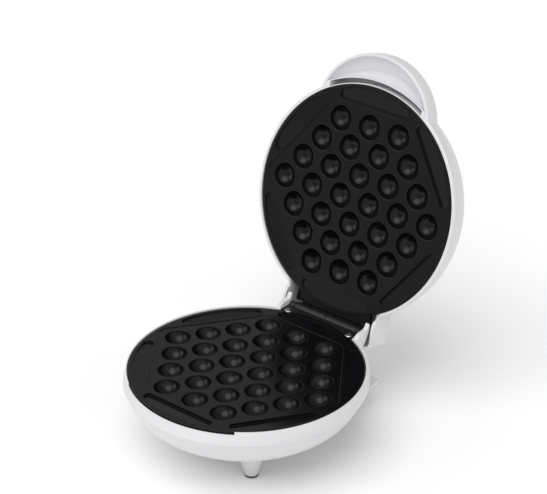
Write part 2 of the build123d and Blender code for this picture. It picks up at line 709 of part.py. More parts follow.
def base_shell():
    """The lower shell."""
    section = [(0, -BASE_DEPTH), *bowl_section(BASE_R, BASE_DEPTH, BOWL_SIDES),
               (BASE_R, RIM - RIM_BEVEL), (BASE_R - RIM_BEVEL, RIM), (SEAT_R, RIM), (SEAT_R, BACK),
               (0, BACK)]
    shell = Part() + faceted(section, SHELL_SIDES) - bowl_inside()

    # a flat wall closes the recess between the ears
    behind = (RECESS_Y, BASE_R + OVER)
    shell -= block((-HOOD_IN, HOOD_IN), behind, (-BASE_DEPTH - OVER, OVER))
    wall = block((-HOOD_IN - SHELL_WALL, HOOD_IN + SHELL_WALL),
                 (RECESS_Y - SHELL_WALL, RECESS_Y), (-BASE_DEPTH, BACK))
    shell += wall & inside_bowl()
    shell -= block((-TONGUE_W / 2 - CLEAR, TONGUE_W / 2 + CLEAR), (TONGUE_ROOT, BASE_R),
                   (BACK, OVER))

    # the band leans in, and its shifted cone bites deeper at the front
    far = BASE_R + 2 * OVER
    around = [(BAND_R - BAND_SLOPE * OVER, OVER), (far, OVER), (far, -BAND_DEPTH),
              (BAND_R + BAND_SLOPE * BAND_DEPTH, -BAND_DEPTH)]
    shell -= Pos(0, BAND_SHIFT) * faceted(around, SHELL_SIDES)
    notch = hoop(BASE_R + OVER, SEAT_R - CLEAR, -NOTCH_DEPTH, OVER)
    wedge = [(0, 0), polar(2 * BASE_R, FRONT_ANGLE - NOTCH_HALF_ANGLE),
             polar(2 * BASE_R, FRONT_ANGLE + NOTCH_HALF_ANGLE)]
    shell -= notch & prism(make_face(Polyline(*wedge, close=True)), -NOTCH_DEPTH, OVER)

    shell += ears() + screw_bosses() + legs() + terminal_ribs()
    for angle in POST_ANGLES:
        x, y = polar(POST_RING_R, angle)
        shell -= peg(BOSS_BORE_R, -BASE_DEPTH - OVER, OVER, x, y)
        shell -= peg(COUNTERBORE_R, -BASE_DEPTH - OVER, -HEAD_SEAT, x, y)
    shell += gland_axis() * peg(GLAND_FLANGE_R, -GLAND_SEAT, 0)
    shell -= gland_axis() * peg(GLAND_R + TOUCH, -GLAND_LENGTH, OVER)
    for x, y in STAND_SCREW_PLACES:
        shell -= peg(SMALL_SCREW_R + TOUCH, -BASE_DEPTH - OVER, -BASE_DEPTH + STAND_BOSS_H, x, y)
    return shell


EAR_OUTLINE_SHARES = (
    (-1.02, -0.72), (-0.98, 0.15), (-0.72, 0.42), (-0.36, 0.78), (0.0, 0.9), (0.28, 0.62),
    (0.3, 0.2), (0.16, -0.08), (-0.3, -0.42), (-0.5, -0.72),
)
EAR_REACH = 16.0
EAR_ROUND_R = 1.6


def ears():
    """The two rounded lugs beside the hinge, in shares of their reach from the pin."""
    points = [(HINGE_Y + EAR_REACH * along, HINGE_Z + EAR_REACH * up)
              for along, up in EAR_OUTLINE_SHARES]
    face = make_face(Polyline(*points, close=True))
    upper = [v for v in face.vertices() if v.Y > HINGE_Z]
    face = fillet(upper, EAR_ROUND_R)
    lug = extrude(Plane.YZ.offset(EAR_IN) * face, amount=EAR_OUT - EAR_IN)
    return lug + mirror(lug, about=Plane.YZ)


def screw_bosses():
    """Four bosses from the bowl up to the heat shield."""
    bosses = None
    for angle in POST_ANGLES:
        x, y = polar(POST_RING_R, angle)
        boss = peg(BOSS_R + SHELL_WALL, -BASE_DEPTH, -HEAD_SEAT + SHELL_WALL, x, y)
        boss += peg(BOSS_R, -BASE_DEPTH, -SHIELD_LEVEL, x, y)
        bosses = boss if bosses is None else bosses + boss
    return bosses & inside_bowl()


def leg(x, y, root_r, root_level):
    """One tapered leg, with a shallow seat for its pad."""
    tip = -STAND_H + PAD_PROUD
    section = [(0, root_level), (root_r, root_level), (LEG_TIP_R, tip), (PAD_R + TOUCH, tip),
               (PAD_R + TOUCH, tip + PAD_SUNK), (0, tip + PAD_SUNK)]
    return Pos(x, y, 0) * faceted(section, LEG_SIDES)


def legs():
    """The two front legs."""
    left, right = [leg(x, y, LEG_TOP_R, -BASE_DEPTH + SHELL_WALL / 2) for x, y in LEG_PLACES]
    return left + right


def terminal_ribs():
    """Two ribs on the floor of the bowl that hold the terminal block."""
    floor = -BASE_DEPTH + SHELL_WALL
    ribs = None
    for side in (-1, 1):
        near = TERMINAL_Y + side * (TERMINAL_SIZE[1] / 2 + TOUCH)
        low, high = sorted((near, near + side * RIB_T))
        rib = block((-TERMINAL_SIZE[0] / 2, TERMINAL_SIZE[0] / 2), (low, high),
                    (floor - SHELL_WALL / 2, floor + RIB_H))
        ribs = rib if ribs is None else ribs + rib
    return ribs


def gland_axis():
    """The cord inlet: its middle on the outside of the bowl, with +Z square to that surface."""
    along = (GLAND_Y - BASE_FLAT_R) / (BASE_R - BASE_FLAT_R)
    down = math.sqrt(1 - along ** 2)
    tilt = math.degrees(math.atan2(along / (BASE_R - BASE_FLAT_R), down / (BASE_DEPTH - BASE_BAND)))
    return Pos(0, GLAND_Y, -BASE_BAND - down * (BASE_DEPTH - BASE_BAND)) * Rot(180 + tilt, 0, 0)


# Small pieces of the lower half.

GLAND_FLANGE_T = 2.0
GLAND_LENGTH = 8.0
TERMINAL_HOLE_R = 2.2
TERMINAL_COUNT = 3


def cord_gland():
    """The bush in the cord inlet, with its flange outside."""
    bush = peg(GLAND_R, -GLAND_LENGTH, 0) + peg(GLAND_FLANGE_R, 0, GLAND_FLANGE_T)
    return gland_axis() * (bush - peg(GLAND_BORE_R, -GLAND_LENGTH - OVER, OVER))


def terminal_block():
    """The connector block between its ribs, with a row of wire holes."""
    floor = -BASE_DEPTH + SHELL_WALL
    width, depth, height = TERMINAL_SIZE
    piece = block((-width / 2, width / 2), (TERMINAL_Y - depth / 2, TERMINAL_Y + depth / 2),
                  (floor, floor + height))
    pitch = width / TERMINAL_COUNT
    for place in range(TERMINAL_COUNT):
        x = (place - (TERMINAL_COUNT - 1) / 2) * pitch
        piece -= Pos(x, TERMINAL_Y, floor + height / 2) * Rot(90, 0, 0) * peg(
            TERMINAL_HOLE_R, -depth, depth)
    return piece


def base_screws():
    """Four long screws from below, through the bosses and the shield into the plate."""
    hold = HEAD_SEAT - SHIELD_LEVEL + SHIELD_T + SCREW_HOLD - CLEAR
    return Compound(children=[
        hanging_screw(*polar(POST_RING_R, angle), -HEAD_SEAT, hold, SCREW_R, SCREW_HEAD_R,
                      SCREW_HEAD_T)
        for angle in POST_ANGLES
    ])


# The rear stand is a flat foot plate under the back of the bowl. It carries the two rear legs
# and reaches back as far as the hood, so that the maker can also stand on end with its cord
# wound round the block between plate and bowl.

STAND_HALF = HOOD_W / 2
STAND_FLARE = 7.6
STAND_LEAD = 4.0
STAND_FRONT = BASE_FLAT_R + STAND_LEAD
STAND_T = 2.7
STAND_GAP = 4.5
STAND_TOP = -BASE_DEPTH - STAND_GAP
STAND_CORNER = 2.0
STAND_BLOCK_HALF = 24.0
STAND_BLOCK_SHARES = (0.7, 0.9333)
STAND_BLOCK_Y = tuple(BASE_FLAT_R * share for share in STAND_BLOCK_SHARES)
REAR_LEG_INSET = 24.6
REAR_LEG_SHARE = 0.56
REAR_LEG_X = STAND_HALF * REAR_LEG_SHARE
REAR_LEG_Y = HOOD_BACK - REAR_LEG_INSET
REAR_LEG_PLACES = ((REAR_LEG_X, REAR_LEG_Y), (-REAR_LEG_X, REAR_LEG_Y))
REAR_LEG_TOP_R = 8.4
STAND_SCREW_X = STAND_BLOCK_HALF * 2 / 3
STAND_SCREW_Y = sum(STAND_BLOCK_Y) / 2
STAND_SCREW_PLACES = ((STAND_SCREW_X, STAND_SCREW_Y), (-STAND_SCREW_X, STAND_SCREW_Y))
STAND_BOSS_H = 1.9


def rear_stand():
    """The foot plate with its neck and block, and the two rear legs."""
    low = STAND_TOP - STAND_T
    outline = [
        (-STAND_HALF - STAND_FLARE, STAND_FRONT),
        (STAND_HALF + STAND_FLARE, STAND_FRONT),
        (STAND_HALF, HOOD_BACK),
        (-STAND_HALF, HOOD_BACK),
    ]
    face = make_face(Polyline(*outline, close=True))
    plate = prism(chamfer(face.vertices(), STAND_CORNER), low, STAND_TOP)
    neck = (-STAND_BLOCK_HALF, STAND_BLOCK_HALF)
    plate += block(neck, (STAND_BLOCK_Y[0], STAND_FRONT + STAND_CORNER), (low, STAND_TOP))
    plate += block(neck, STAND_BLOCK_Y, (low, -BASE_DEPTH))
    for x, y in REAR_LEG_PLACES:
        plate += leg(x, y, REAR_LEG_TOP_R, low + STAND_T / 2)
    for x, y in STAND_SCREW_PLACES:
        plate -= peg(SMALL_SCREW_R + CLEAR, low - OVER, -BASE_DEPTH + OVER, x, y)
    return plate


def rear_stand_screws():
    """Two screws that hold the rear stand to the bottom of the bowl."""
    seat = STAND_TOP - STAND_T
    hold = -BASE_DEPTH + STAND_BOSS_H - CLEAR - seat
    return Compound(children=[
        hanging_screw(x, y, seat, hold, SMALL_SCREW_R, SMALL_HEAD_R, SMALL_HEAD_T)
        for x, y in STAND_SCREW_PLACES
    ])


def foot_pads():
    """A rubber pad in the tip of each leg."""
    top = -STAND_H + PAD_PROUD + PAD_SUNK
    pad = [(0, -STAND_H), (PAD_R, -STAND_H), (PAD_R, top), (0, top)]
    return Compound(children=[
        Pos(x, y, 0) * faceted(pad, LEG_SIDES)
        for x, y in LEG_PLACES + REAR_LEG_PLACES
    ])


# The upper shell: a flat dome with a hollow D-shaped handle at the front and a square hood at
# the back that covers the hinge when the lid is shut.

SLOT_W = 3.4
SLOT_H = 12.0
SLOT_SHARE = 0.86
SLOT_HALF_X = HANDLE_R * SLOT_SHARE
SCOOP_WALL = 1.8
SCOOP_ROOF = 4.5
SCOOP_DEPTH = HANDLE_H - SCOOP_ROOF
SCOOP_SIDES = 7
HANDLE_BEVEL = 3.0
HOOD_ROUND_R = 5.0
HOOD_LEAD = 24.6
HOOD_FLAT = 10.0
HOOD_FRONT = HINGE_Y - HOOD_LEAD
HOOD_LEVEL_Y = HOOD_FRONT + HOOD_FLAT
HOOD_TOP_DIP = 2.0
SHOULDER_SIDES = 3
LENS_X = 11.0
LENS_INSET = 8.0
LENS_Y = -CROWN_FLAT_R + LENS_INSET
LENS_PLACES = ((LENS_X, LENS_Y), (-LENS_X, LENS_Y))
LENS_R = 4.5
LENS_STEM_R = 3.2
LENS_SEAT = 0.9


def dome_section(inset):
    """The side and top of the dome in straight steps, all moved in by an amount."""
    middle_r = LID_SHOULDER_R - LID_ROUND_R
    middle_z = LID_SHOULDER_H - LID_ROUND_R
    points = []
    for step in range(SHOULDER_SIDES + 1):
        x, z = polar(LID_ROUND_R - inset, 90 * step / SHOULDER_SIDES)
        points.append((middle_r + x, middle_z + z))
    return points + [(CROWN_FLAT_R, LID_H - inset), (0, LID_H - inset)]


def dome():
    """The outside of the dome, down to its rim."""
    return faceted([(0, -RIM), (LID_R, -RIM), *dome_section(0)], SHELL_SIDES)


def dome_inside():
    """The hollow of the dome over the ledge, in flat steps."""
    section = [(0, -BACK), (LEDGE_R, -BACK), (LEDGE_R, -BACK + LEDGE_T), (LID_IN_R, -BACK + LEDGE_T)]
    return faceted(section + dome_section(SHELL_WALL), RING_SIDES)


def handle():
    """The handle, round in plan and scooped out from below."""
    outline = [(0, -RIM), (HANDLE_R, -RIM), (HANDLE_R, HANDLE_H - HANDLE_BEVEL),
               (HANDLE_R - HANDLE_BEVEL, HANDLE_H), (0, HANDLE_H)]
    near = PLATE_R + SLOT_W + SCOOP_WALL
    far = HANDLE_BEHIND + HANDLE_R - HANDLE_WALL + CLEAR
    section = [(far, -OVER), (near, -OVER)]
    for step in range(SCOOP_SIDES + 1):
        along, up = polar(1, 2 * QUARTER_ANGLE * (1 - step / SCOOP_SIDES))
        section.append(((near + far) / 2 + (far - near) / 2 * along, -RIM + (SCOOP_DEPTH + RIM) * up))
    scoop = Part() + faceted(section, SHELL_SIDES)
    scoop &= Pos(0, -HANDLE_BEHIND) * drum(HANDLE_R - HANDLE_WALL, -2 * OVER, HANDLE_H)
    return Pos(0, -HANDLE_BEHIND) * faceted(outline, SHELL_SIDES) - scoop


def hood(side_in, back_in, top_in, low):
    """A block that fills the hood, drawn in by the same amounts as its walls."""
    points = [
        (HOOD_FRONT, low),
        (HOOD_LEVEL_Y, low),
        (HOOD_BACK - HOOD_WALL, -HOOD_DROP + (low + RIM) / 2),
        (HOOD_BACK - back_in, -HOOD_DROP),
        (HOOD_BACK - back_in, HOOD_H - top_in),
        (HOOD_FRONT, HOOD_H - HOOD_TOP_DIP - top_in),
    ]
    return side_slab(points, -HOOD_W / 2 + side_in, HOOD_W / 2 - side_in)


def lid_shell():
    """The upper shell."""
    low = -RIM
    cover = hood(0, 0, 0, low)
    upright = cover.edges().filter_by(Axis.Z).group_by(Axis.Y)[-1]
    top_edge = cover.edges().filter_by(Axis.X).sort_by(Axis.Z)[-1]
    cover = fillet([*upright, top_edge], HOOD_ROUND_R)
    shell = cover + dome() + handle()
    shell -= dome_inside()
    shell -= drum(SEAT_R, low - OVER, -BACK)
    shell -= hood(HOOD_WALL, HOOD_WALL, HOOD_WALL, low - OVER)
    slot = hoop(PLATE_R + SLOT_W, SEAT_R - TOUCH, low - OVER, SLOT_H)
    shell -= slot & block((-SLOT_HALF_X, SLOT_HALF_X), (-BASE_R - OVER, 0), (low - OVER, SLOT_H))
    shell += lamp_posts()
    for x, y in LENS_PLACES:
        section = [(0, 0), (LENS_STEM_R + TOUCH, 0), (LENS_STEM_R + TOUCH, lens_seat()),
                   (LENS_R + TOUCH, lens_seat()), (LENS_R + TOUCH, LID_H), (0, LID_H)]
        shell -= Pos(x, y, 0) * faceted(section, LEG_SIDES)
    return shell


def lens_seat():
    """The level of the round seat in which each lens lies."""
    return LID_H - LENS_SEAT


# Two signal lamps under the front of the dome.

LENS_PROUD = 1.0
BOARD_SIZE = (44.0, 12.0, 1.4)
BOARD_DROP = 8.4
BOARD_TOP = LID_H - BOARD_DROP
BOARD_POST_X = 19.0
BOARD_POST_R = 2.6
LAMP_R = 1.6
LAMP_GAP = 0.2


def lamp_posts():
    """Two posts under the dome that carry the lamp board."""
    posts = None
    _, y = LENS_PLACES[0]
    for side in (-1, 1):
        x = side * BOARD_POST_X
        post = peg(BOARD_POST_R, BOARD_TOP, LID_H - SHELL_WALL / 2, x, y)
        posts = post if posts is None else posts + post
    return posts


def lens(x, y):
    """A lens with a low domed head and a stem through the shell."""
    seat = lens_seat()
    low, top = seat - SHELL_WALL, seat + LENS_SEAT
    section = [(0, low), (LENS_STEM_R, low), (LENS_STEM_R, seat), (LENS_R, seat), (LENS_R, top),
               (LENS_R / 2, top + LENS_PROUD), (0, top + LENS_PROUD)]
    return Pos(x, y, 0) * faceted(section, LEG_SIDES)


def lamp_board():
    """The small board that holds the two lamps."""
    _, y = LENS_PLACES[0]
    width, depth, thick = BOARD_SIZE
    return block((-width / 2, width / 2), (y - depth / 2, y + depth / 2),
                 (BOARD_TOP - thick, BOARD_TOP))


def lamps():
    """Two small lamps standing on the board under the lenses."""
    return Compound(children=[
        peg(LAMP_R, BOARD_TOP, lens_seat() - SHELL_WALL - LAMP_GAP, x, y)
        for x, y in LENS_PLACES
    ])


LOWER = {
    "base_shell": base_shell(),
    "base_plate": base_plate(),
    "base_heating_element": heating_element(),
    "base_element_beads": element_beads(),
    "base_heat_shield": heat_shield(),
    "base_screws": base_screws(),
    "thermostat": thermostat(),
    "thermostat_screws": thermostat_screws(),
    "thermal_fuse": thermal_fuse(),
    "fuse_clip": fuse_clip(),
    "terminal_block": terminal_block(),
    "cord_gland": cord_gland(),
    "rear_stand": rear_stand(),
    "rear_stand_screws": rear_stand_screws(),
    "foot_pads": foot_pads(),
    "hinge_bracket": hinge_bracket(),
    "hinge_bracket_screws": bracket_screws(),
    "hinge_pin": hinge_pin(),
}

UPPER = {
    "lid_shell": lid_shell(),
    "lid_plate": lid_plate(),
    "lid_heating_element": flipped(heating_element()),
    "lid_element_beads": flipped(element_beads()),
    "lid_heat_shield": flipped(heat_shield()),
    "lid_shield_screws": lid_shield_screws(),
    "lid_clips": lid_clips(),
    "lid_clip_screws": lid_clip_screws(),
    "hinge_leaf": hinge_leaf(),
    "hinge_leaf_screws": leaf_screws(),
    "red_lens": lens(*LENS_PLACES[0]),
    "green_lens": lens(*LENS_PLACES[1]),
    "lamp_board": lamp_board(),
    "signal_lamps": lamps(),
}

# The lid swings open about the pin. The whole maker is then lifted onto its feet and moved
# so that the origin is in the middle of the space that it covers.

opened = Pos(0, HINGE_Y, HINGE_Z) * Rot(-OPEN_ANGLE, 0, 0) * Pos(0, -HINGE_Y, -HINGE_Z)
pieces = dict(LOWER)
for name, piece in UPPER.items():
    pieces[name] = opened * piece

front = min(piece.bounding_box().min.Y for piece in pieces.values())
rear = max(piece.bounding_box().max.Y for piece in pieces.values())
placed = Pos(0, -(front + rear) / 2, STAND_H)

os.makedirs("parts", exist_ok=True)
for name, piece in pieces.items():
    export_step(placed * piece, f"parts/{name}.step")

print("plate centre at y", round(-(front + rear) / 2, 4), "z", STAND_H)
print("hinge axis at y", round(HINGE_Y - (front + rear) / 2, 4), "z", round(STAND_H + HINGE_Z, 4))
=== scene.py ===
import json
import math

import bpy
from mathutils import Matrix, Vector


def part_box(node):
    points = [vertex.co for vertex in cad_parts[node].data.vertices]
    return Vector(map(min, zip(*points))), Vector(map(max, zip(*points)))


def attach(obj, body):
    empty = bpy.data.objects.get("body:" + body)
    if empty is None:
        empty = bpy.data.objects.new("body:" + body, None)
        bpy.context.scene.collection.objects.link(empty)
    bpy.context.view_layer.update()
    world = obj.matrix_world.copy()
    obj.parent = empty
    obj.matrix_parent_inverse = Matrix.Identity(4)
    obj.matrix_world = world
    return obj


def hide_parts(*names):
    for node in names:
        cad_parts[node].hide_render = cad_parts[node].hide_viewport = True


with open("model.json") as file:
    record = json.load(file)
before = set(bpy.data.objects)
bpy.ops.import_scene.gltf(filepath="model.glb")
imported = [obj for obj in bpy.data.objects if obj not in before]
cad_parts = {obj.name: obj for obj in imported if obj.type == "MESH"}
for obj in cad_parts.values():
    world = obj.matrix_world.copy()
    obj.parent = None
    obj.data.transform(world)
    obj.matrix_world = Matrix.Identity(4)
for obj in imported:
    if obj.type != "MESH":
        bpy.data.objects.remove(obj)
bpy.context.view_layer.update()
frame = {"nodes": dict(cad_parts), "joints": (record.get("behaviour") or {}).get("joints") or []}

# The lower cast plate: a round aluminium casting with a black non-stick coat. Thirty round
# cups lie in a sunken hexagonal field, a ridge runs round the field, and six shallow pockets
# beyond it catch what runs over. It drops into the rim of the lower shell.

PLATE_R = 0.0999
PLATE_T = 0.0061
PLATE_EASE = 0.0007
LAND = -0.0004
BACK = LAND - PLATE_T
FIELD_DEPTH = 0.0008
FIELD = LAND - FIELD_DEPTH
FIELD_EDGE = 0.0805
FIELD_CORNER = 0.0080
FIELD_EASE = 0.0006
CUP_R = 0.0113
CUP_DEPTH = 0.0092
CUP_COUNTS = (3, 4, 5, 6, 5, 4, 3)
CUP_PITCH = 0.0310
ROW_PITCH = 0.021799
CUP_LIP = 0.0006
CUP_WALL = 0.0024
CUP_ROUND = 48
CUP_RINGS = 32
BUMP_TOP_R = 0.0121
BUMP_TIP_R = 0.0063
BUMP_ROUND = 32
SIDE_ANGLE = math.degrees(math.atan2(CUP_PITCH / 2, ROW_PITCH))
SIDE_ANGLES = (SIDE_ANGLE, 90, 180 - SIDE_ANGLE, 180 + SIDE_ANGLE, 270, 360 - SIDE_ANGLE)
RIDGE_W = 0.0020
POCKET_EDGE = FIELD_EDGE + RIDGE_W
POCKET_R = 0.0968
POCKET_HALF = 0.0360
POCKET_CORNER = 0.0030
POCKET_DEPTH = 0.0022
POCKET_SHALLOW = 0.0009
POCKET_EASE = 0.0003
TONGUE_HALF = 0.0400
TONGUE_DROP = 0.0026
TONGUE_TOP = LAND - TONGUE_DROP
TONGUE_ROOT = 0.0799
TONGUE_END = 0.1038
SCREW_X = 0.0335
SCREW_Y = 0.0966
SCALLOP_R = 0.0037
LARGE_ROUND = 192
SCREW_ROUND = 48
SMOOTH_BELOW = 32
OVER = 0.0050
NEAR = 0.0001
WELD = 1e-6
COATING_BLACK = (0.003, 0.003, 0.004)
COATING_SHINE = 0.22
COAT_ROUGHNESS = 0.12
GRAIN_DETAIL = 4
GRAIN_HEIGHT = 0.0002

plate_low, plate_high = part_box("base_plate")
HALF_WIDTH = (plate_high.x - plate_low.x) / 2
MIDDLE = Vector((0, plate_low.y + HALF_WIDTH, plate_high.z - LAND))
LOWER_PLACE = Matrix.Translation(MIDDLE)


def deselect():
    """Nothing stays selected before the next piece is made."""
    bpy.ops.object.select_all(action="DESELECT")


def take(piece):
    """Only this piece is selected and active."""
    deselect()
    piece.select_set(True)
    bpy.context.view_layer.objects.active = piece


def fix_place():
    """The active piece's place goes into its mesh, and the piece is handed back."""
    bpy.ops.object.transform_apply(location=True, rotation=True, scale=True)
    return bpy.context.object


def edit_all():
    """The active piece is opened in edit mode with all of it selected."""
    bpy.ops.object.mode_set(mode="EDIT")
    bpy.ops.mesh.select_all(action="SELECT")


def leave_edit():
    """The active piece is closed again."""
    bpy.ops.object.mode_set(mode="OBJECT")


def pick_edges(piece, test):
    """In edit mode, only the edges whose two ends pass the test are selected."""
    bpy.ops.object.mode_set(mode="EDIT")
    bpy.ops.mesh.select_mode(type="EDGE")
    bpy.ops.mesh.select_all(action="DESELECT")
    leave_edit()
    for edge in piece.data.edges:
        a, b = [piece.data.vertices[index].co for index in edge.vertices]
        edge.select = test(a, b)
    bpy.ops.object.mode_set(mode="EDIT")


def ease(piece, test, width, segments):
    """The picked edges are bevelled."""
    take(piece)
    pick_edges(piece, test)
    bpy.ops.mesh.bevel(offset=width, segments=segments, profile=0.5, affect="EDGES")
    leave_edit()


def upright(a, b):
    """One end of an edge stands high over the other."""
    return abs(a.z - b.z) > OVER


def cylinder(radius, low, high, x=0, y=0, sides=LARGE_ROUND):
    """An upright round bar between two levels, with its place in its mesh."""
    deselect()
    bpy.ops.mesh.primitive_cylinder_add(vertices=sides, radius=radius, depth=high - low,
                                        location=(x, y, (low + high) / 2))
    return fix_place()


def block(low, high):
    """A box between two corners, with its place in its mesh."""
    deselect()
    middle = [(a + b) / 2 for a, b in zip(low, high)]
    bpy.ops.mesh.primitive_cube_add(size=1, location=middle)
    bpy.context.object.scale = [b - a for a, b in zip(low, high)]
    return fix_place()


def slice_off(piece, point, outwards):
    """What lies beyond a plane is cut off, and the cut is closed."""
    take(piece)
    edit_all()
    bpy.ops.mesh.bisect(plane_co=point, plane_no=outwards, clear_outer=True, use_fill=True)
    leave_edit()


def combine(piece, other, operation):
    """Another piece is cut out of this one, fused with it or met with it, and then removed."""
    take(piece)
    step = piece.modifiers.new("step", "BOOLEAN")
    step.operation = operation
    step.object = other
    step.solver = "EXACT"
    bpy.ops.object.modifier_apply(modifier=step.name)
    bpy.data.objects.remove(other)


def gather(pieces):
    """Several pieces become one."""
    deselect()
    for piece in pieces:
        piece.select_set(True)
    bpy.context.view_layer.objects.active = pieces[0]
    bpy.ops.object.join()
    return pieces[0]


def smooth(piece):
    """Shallow angles are shaded smooth, and edges stay crisp."""
    take(piece)
    bpy.ops.object.shade_smooth_by_angle(angle=math.radians(SMOOTH_BELOW))


def flatten(piece):
    """Large flat faces keep their own normals beside the small rounded ones."""
    take(piece)
    step = piece.modifiers.new("step", "WEIGHTED_NORMAL")
    step.keep_sharp = True
    bpy.ops.object.modifier_apply(modifier=step.name)


def polar(radius, degrees):
    """A point on a circle round the middle of the plate."""
    return (radius * math.cos(math.radians(degrees)), radius * math.sin(math.radians(degrees)))


def cup_places():
    """The middle of each of the thirty cups."""
    middle = (len(CUP_COUNTS) - 1) / 2
    return [((cup - (count - 1) / 2) * CUP_PITCH, (row - middle) * ROW_PITCH)
            for row, count in enumerate(CUP_COUNTS) for cup in range(count)]


def cup_cones(low, high, low_r, high_r, sides):
    """Thirty upright cones between two levels, one in line with each cup."""
    cones = []
    for x, y in cup_places():
        deselect()
        bpy.ops.mesh.primitive_cone_add(vertices=sides, radius1=low_r, radius2=high_r,
                                        depth=high - low, location=(x, y, (low + high) / 2))
        cones.append(fix_place())
    return gather(cones)


def cup_backs():
    """The tapered bumps on the back, one behind each cup."""
    low = FIELD - CUP_DEPTH - CUP_WALL
    return cup_cones(low, BACK + CUP_WALL, BUMP_TIP_R, BUMP_TOP_R, BUMP_ROUND)


def cup_lips():
    """Shallow cones that break the edges of the cups."""
    low, high = FIELD - CUP_LIP, FIELD + CUP_LIP / 2
    return cup_cones(low, high, CUP_R - CUP_LIP, CUP_R + 2 * CUP_LIP, CUP_ROUND)


def cup_balls():
    """Thirty balls that sink the cups."""
    ball_r = (CUP_R ** 2 + CUP_DEPTH ** 2) / (2 * CUP_DEPTH)
    level = FIELD - CUP_DEPTH + ball_r
    balls = []
    for x, y in cup_places():
        deselect()
        bpy.ops.mesh.primitive_uv_sphere_add(segments=CUP_ROUND, ring_count=CUP_RINGS,
                                             radius=ball_r, location=(x, y, level))
        balls.append(fix_place())
    return gather(balls)


def field_cutter():
    """The sunken field: a round bar cut by its six sides, with round corners and floor."""
    cutter = cylinder(POCKET_R, FIELD, OVER)
    for degrees in SIDE_ANGLES:
        x, y = polar(1, degrees)
        slice_off(cutter, (x * FIELD_EDGE, y * FIELD_EDGE, 0), (x, y, 0))
    ease(cutter, lambda a, b: upright(a, b) and abs(a.y) > FIELD_EDGE - NEAR, FIELD_CORNER,
         segments=6)
    ease(cutter, lambda a, b: max(a.z, b.z) < FIELD + NEAR, FIELD_EASE, segments=3)
    return cutter


def pocket_cutter(degrees):
    """One run-over pocket, deepest along its straight inner side and rising to the rim."""
    cutter = cylinder(POCKET_R, LAND - POCKET_DEPTH, OVER)
    slice_off(cutter, (POCKET_EDGE, 0, 0), (-1, 0, 0))
    slice_off(cutter, (0, POCKET_HALF, 0), (0, 1, 0))
    slice_off(cutter, (0, -POCKET_HALF, 0), (0, -1, 0))
    ease(cutter, lambda a, b: upright(a, b) and abs(a.y) > POCKET_HALF - NEAR, POCKET_CORNER,
         segments=4)
    fall = Vector((POCKET_R - POCKET_EDGE, 0, POCKET_DEPTH - POCKET_SHALLOW))
    down = Vector((fall.z, 0, -fall.x)).normalized()
    deep = Vector((POCKET_EDGE, 0, LAND - POCKET_DEPTH))
    slice_off(cutter, deep, down)
    ease(cutter, lambda a, b: max((a - deep).dot(down), (b - deep).dot(down)) > -NEAR,
         POCKET_EASE, segments=3)
    cutter.matrix_world = Matrix.Rotation(math.radians(degrees), 4, "Z")
    take(cutter)
    return fix_place()


def cast_plate(name):
    """The casting that both halves share, with its cups open upwards."""
    plate = cylinder(PLATE_R, BACK, LAND)
    plate.name = name
    ease(plate, lambda a, b: min(a.z, b.z) > LAND - NEAR, PLATE_EASE, segments=3)
    tongue = block((-TONGUE_HALF, TONGUE_ROOT, BACK), (TONGUE_HALF, TONGUE_END, TONGUE_TOP))
    combine(plate, tongue, "UNION")
    combine(plate, cup_backs(), "UNION")
    combine(plate, field_cutter(), "DIFFERENCE")
    combine(plate, gather([pocket_cutter(degrees) for degrees in SIDE_ANGLES]), "DIFFERENCE")
    combine(plate, cup_balls(), "DIFFERENCE")
    combine(plate, cup_lips(), "DIFFERENCE")
    return plate


def grain_group():
    """Fine grain: a value that varies between two others, and a height for the bump."""
    group = bpy.data.node_groups.new("fine grain", "ShaderNodeTree")
    for name in ("Scale", "Low", "High"):
        group.interface.new_socket(name, in_out="INPUT", socket_type="NodeSocketFloat")
    for name in ("Value", "Height"):
        group.interface.new_socket(name, in_out="OUTPUT", socket_type="NodeSocketFloat")
    inside = group.nodes.new("NodeGroupInput")
    outside = group.nodes.new("NodeGroupOutput")
    place = group.nodes.new("ShaderNodeTexCoord")
    noise = group.nodes.new("ShaderNodeTexNoise")
    noise.inputs["Detail"].default_value = GRAIN_DETAIL
    spread = group.nodes.new("ShaderNodeMapRange")
    group.links.new(place.outputs["Object"], noise.inputs["Vector"])
    group.links.new(inside.outputs["Scale"], noise.inputs["Scale"])
    group.links.new(noise.outputs["Fac"], spread.inputs["Value"])
    group.links.new(inside.outputs["Low"], spread.inputs["To Min"])
    group.links.new(inside.outputs["High"], spread.inputs["To Max"])
    group.links.new(spread.outputs["Result"], outside.inputs["Value"])
    group.links.new(noise.outputs["Fac"], outside.inputs["Height"])
    return group


GRAIN = grain_group()


def finish_of(name, colour, roughness, spread, fineness, bump, metallic=0.0, coat=0.0):
    """A material whose roughness varies a little with a fine grain that also gives a bump."""
    material = bpy.data.materials.new(name)
    material.use_nodes = True
    nodes, links = material.node_tree.nodes, material.node_tree.links
    shader = nodes["Principled BSDF"]
    shader.inputs["Base Color"].default_value = (*colour, 1)
    shader.inputs["Metallic"].default_value = metallic
    shader.inputs["Coat Weight"].default_value = coat
    shader.inputs["Coat Roughness"].default_value = COAT_ROUGHNESS
    grain = nodes.new("ShaderNodeGroup")
    grain.node_tree = GRAIN
    grain.inputs["Scale"].default_value = fineness
    grain.inputs["Low"].default_value = roughness - spread
    grain.inputs["High"].default_value = roughness + spread
    links.new(grain.outputs["Value"], shader.inputs["Roughness"])
    relief = nodes.new("ShaderNodeBump")
    relief.inputs["Strength"].default_value = bump
    relief.inputs["Distance"].default_value = GRAIN_HEIGHT
    links.new(grain.outputs["Height"], relief.inputs["Height"])
    links.new(relief.outputs["Normal"], shader.inputs["Normal"])
    return material


def set_input(material, name, value):
    """One more value is set on a material's own shader."""
    material.node_tree.nodes["Principled BSDF"].inputs[name].default_value = value


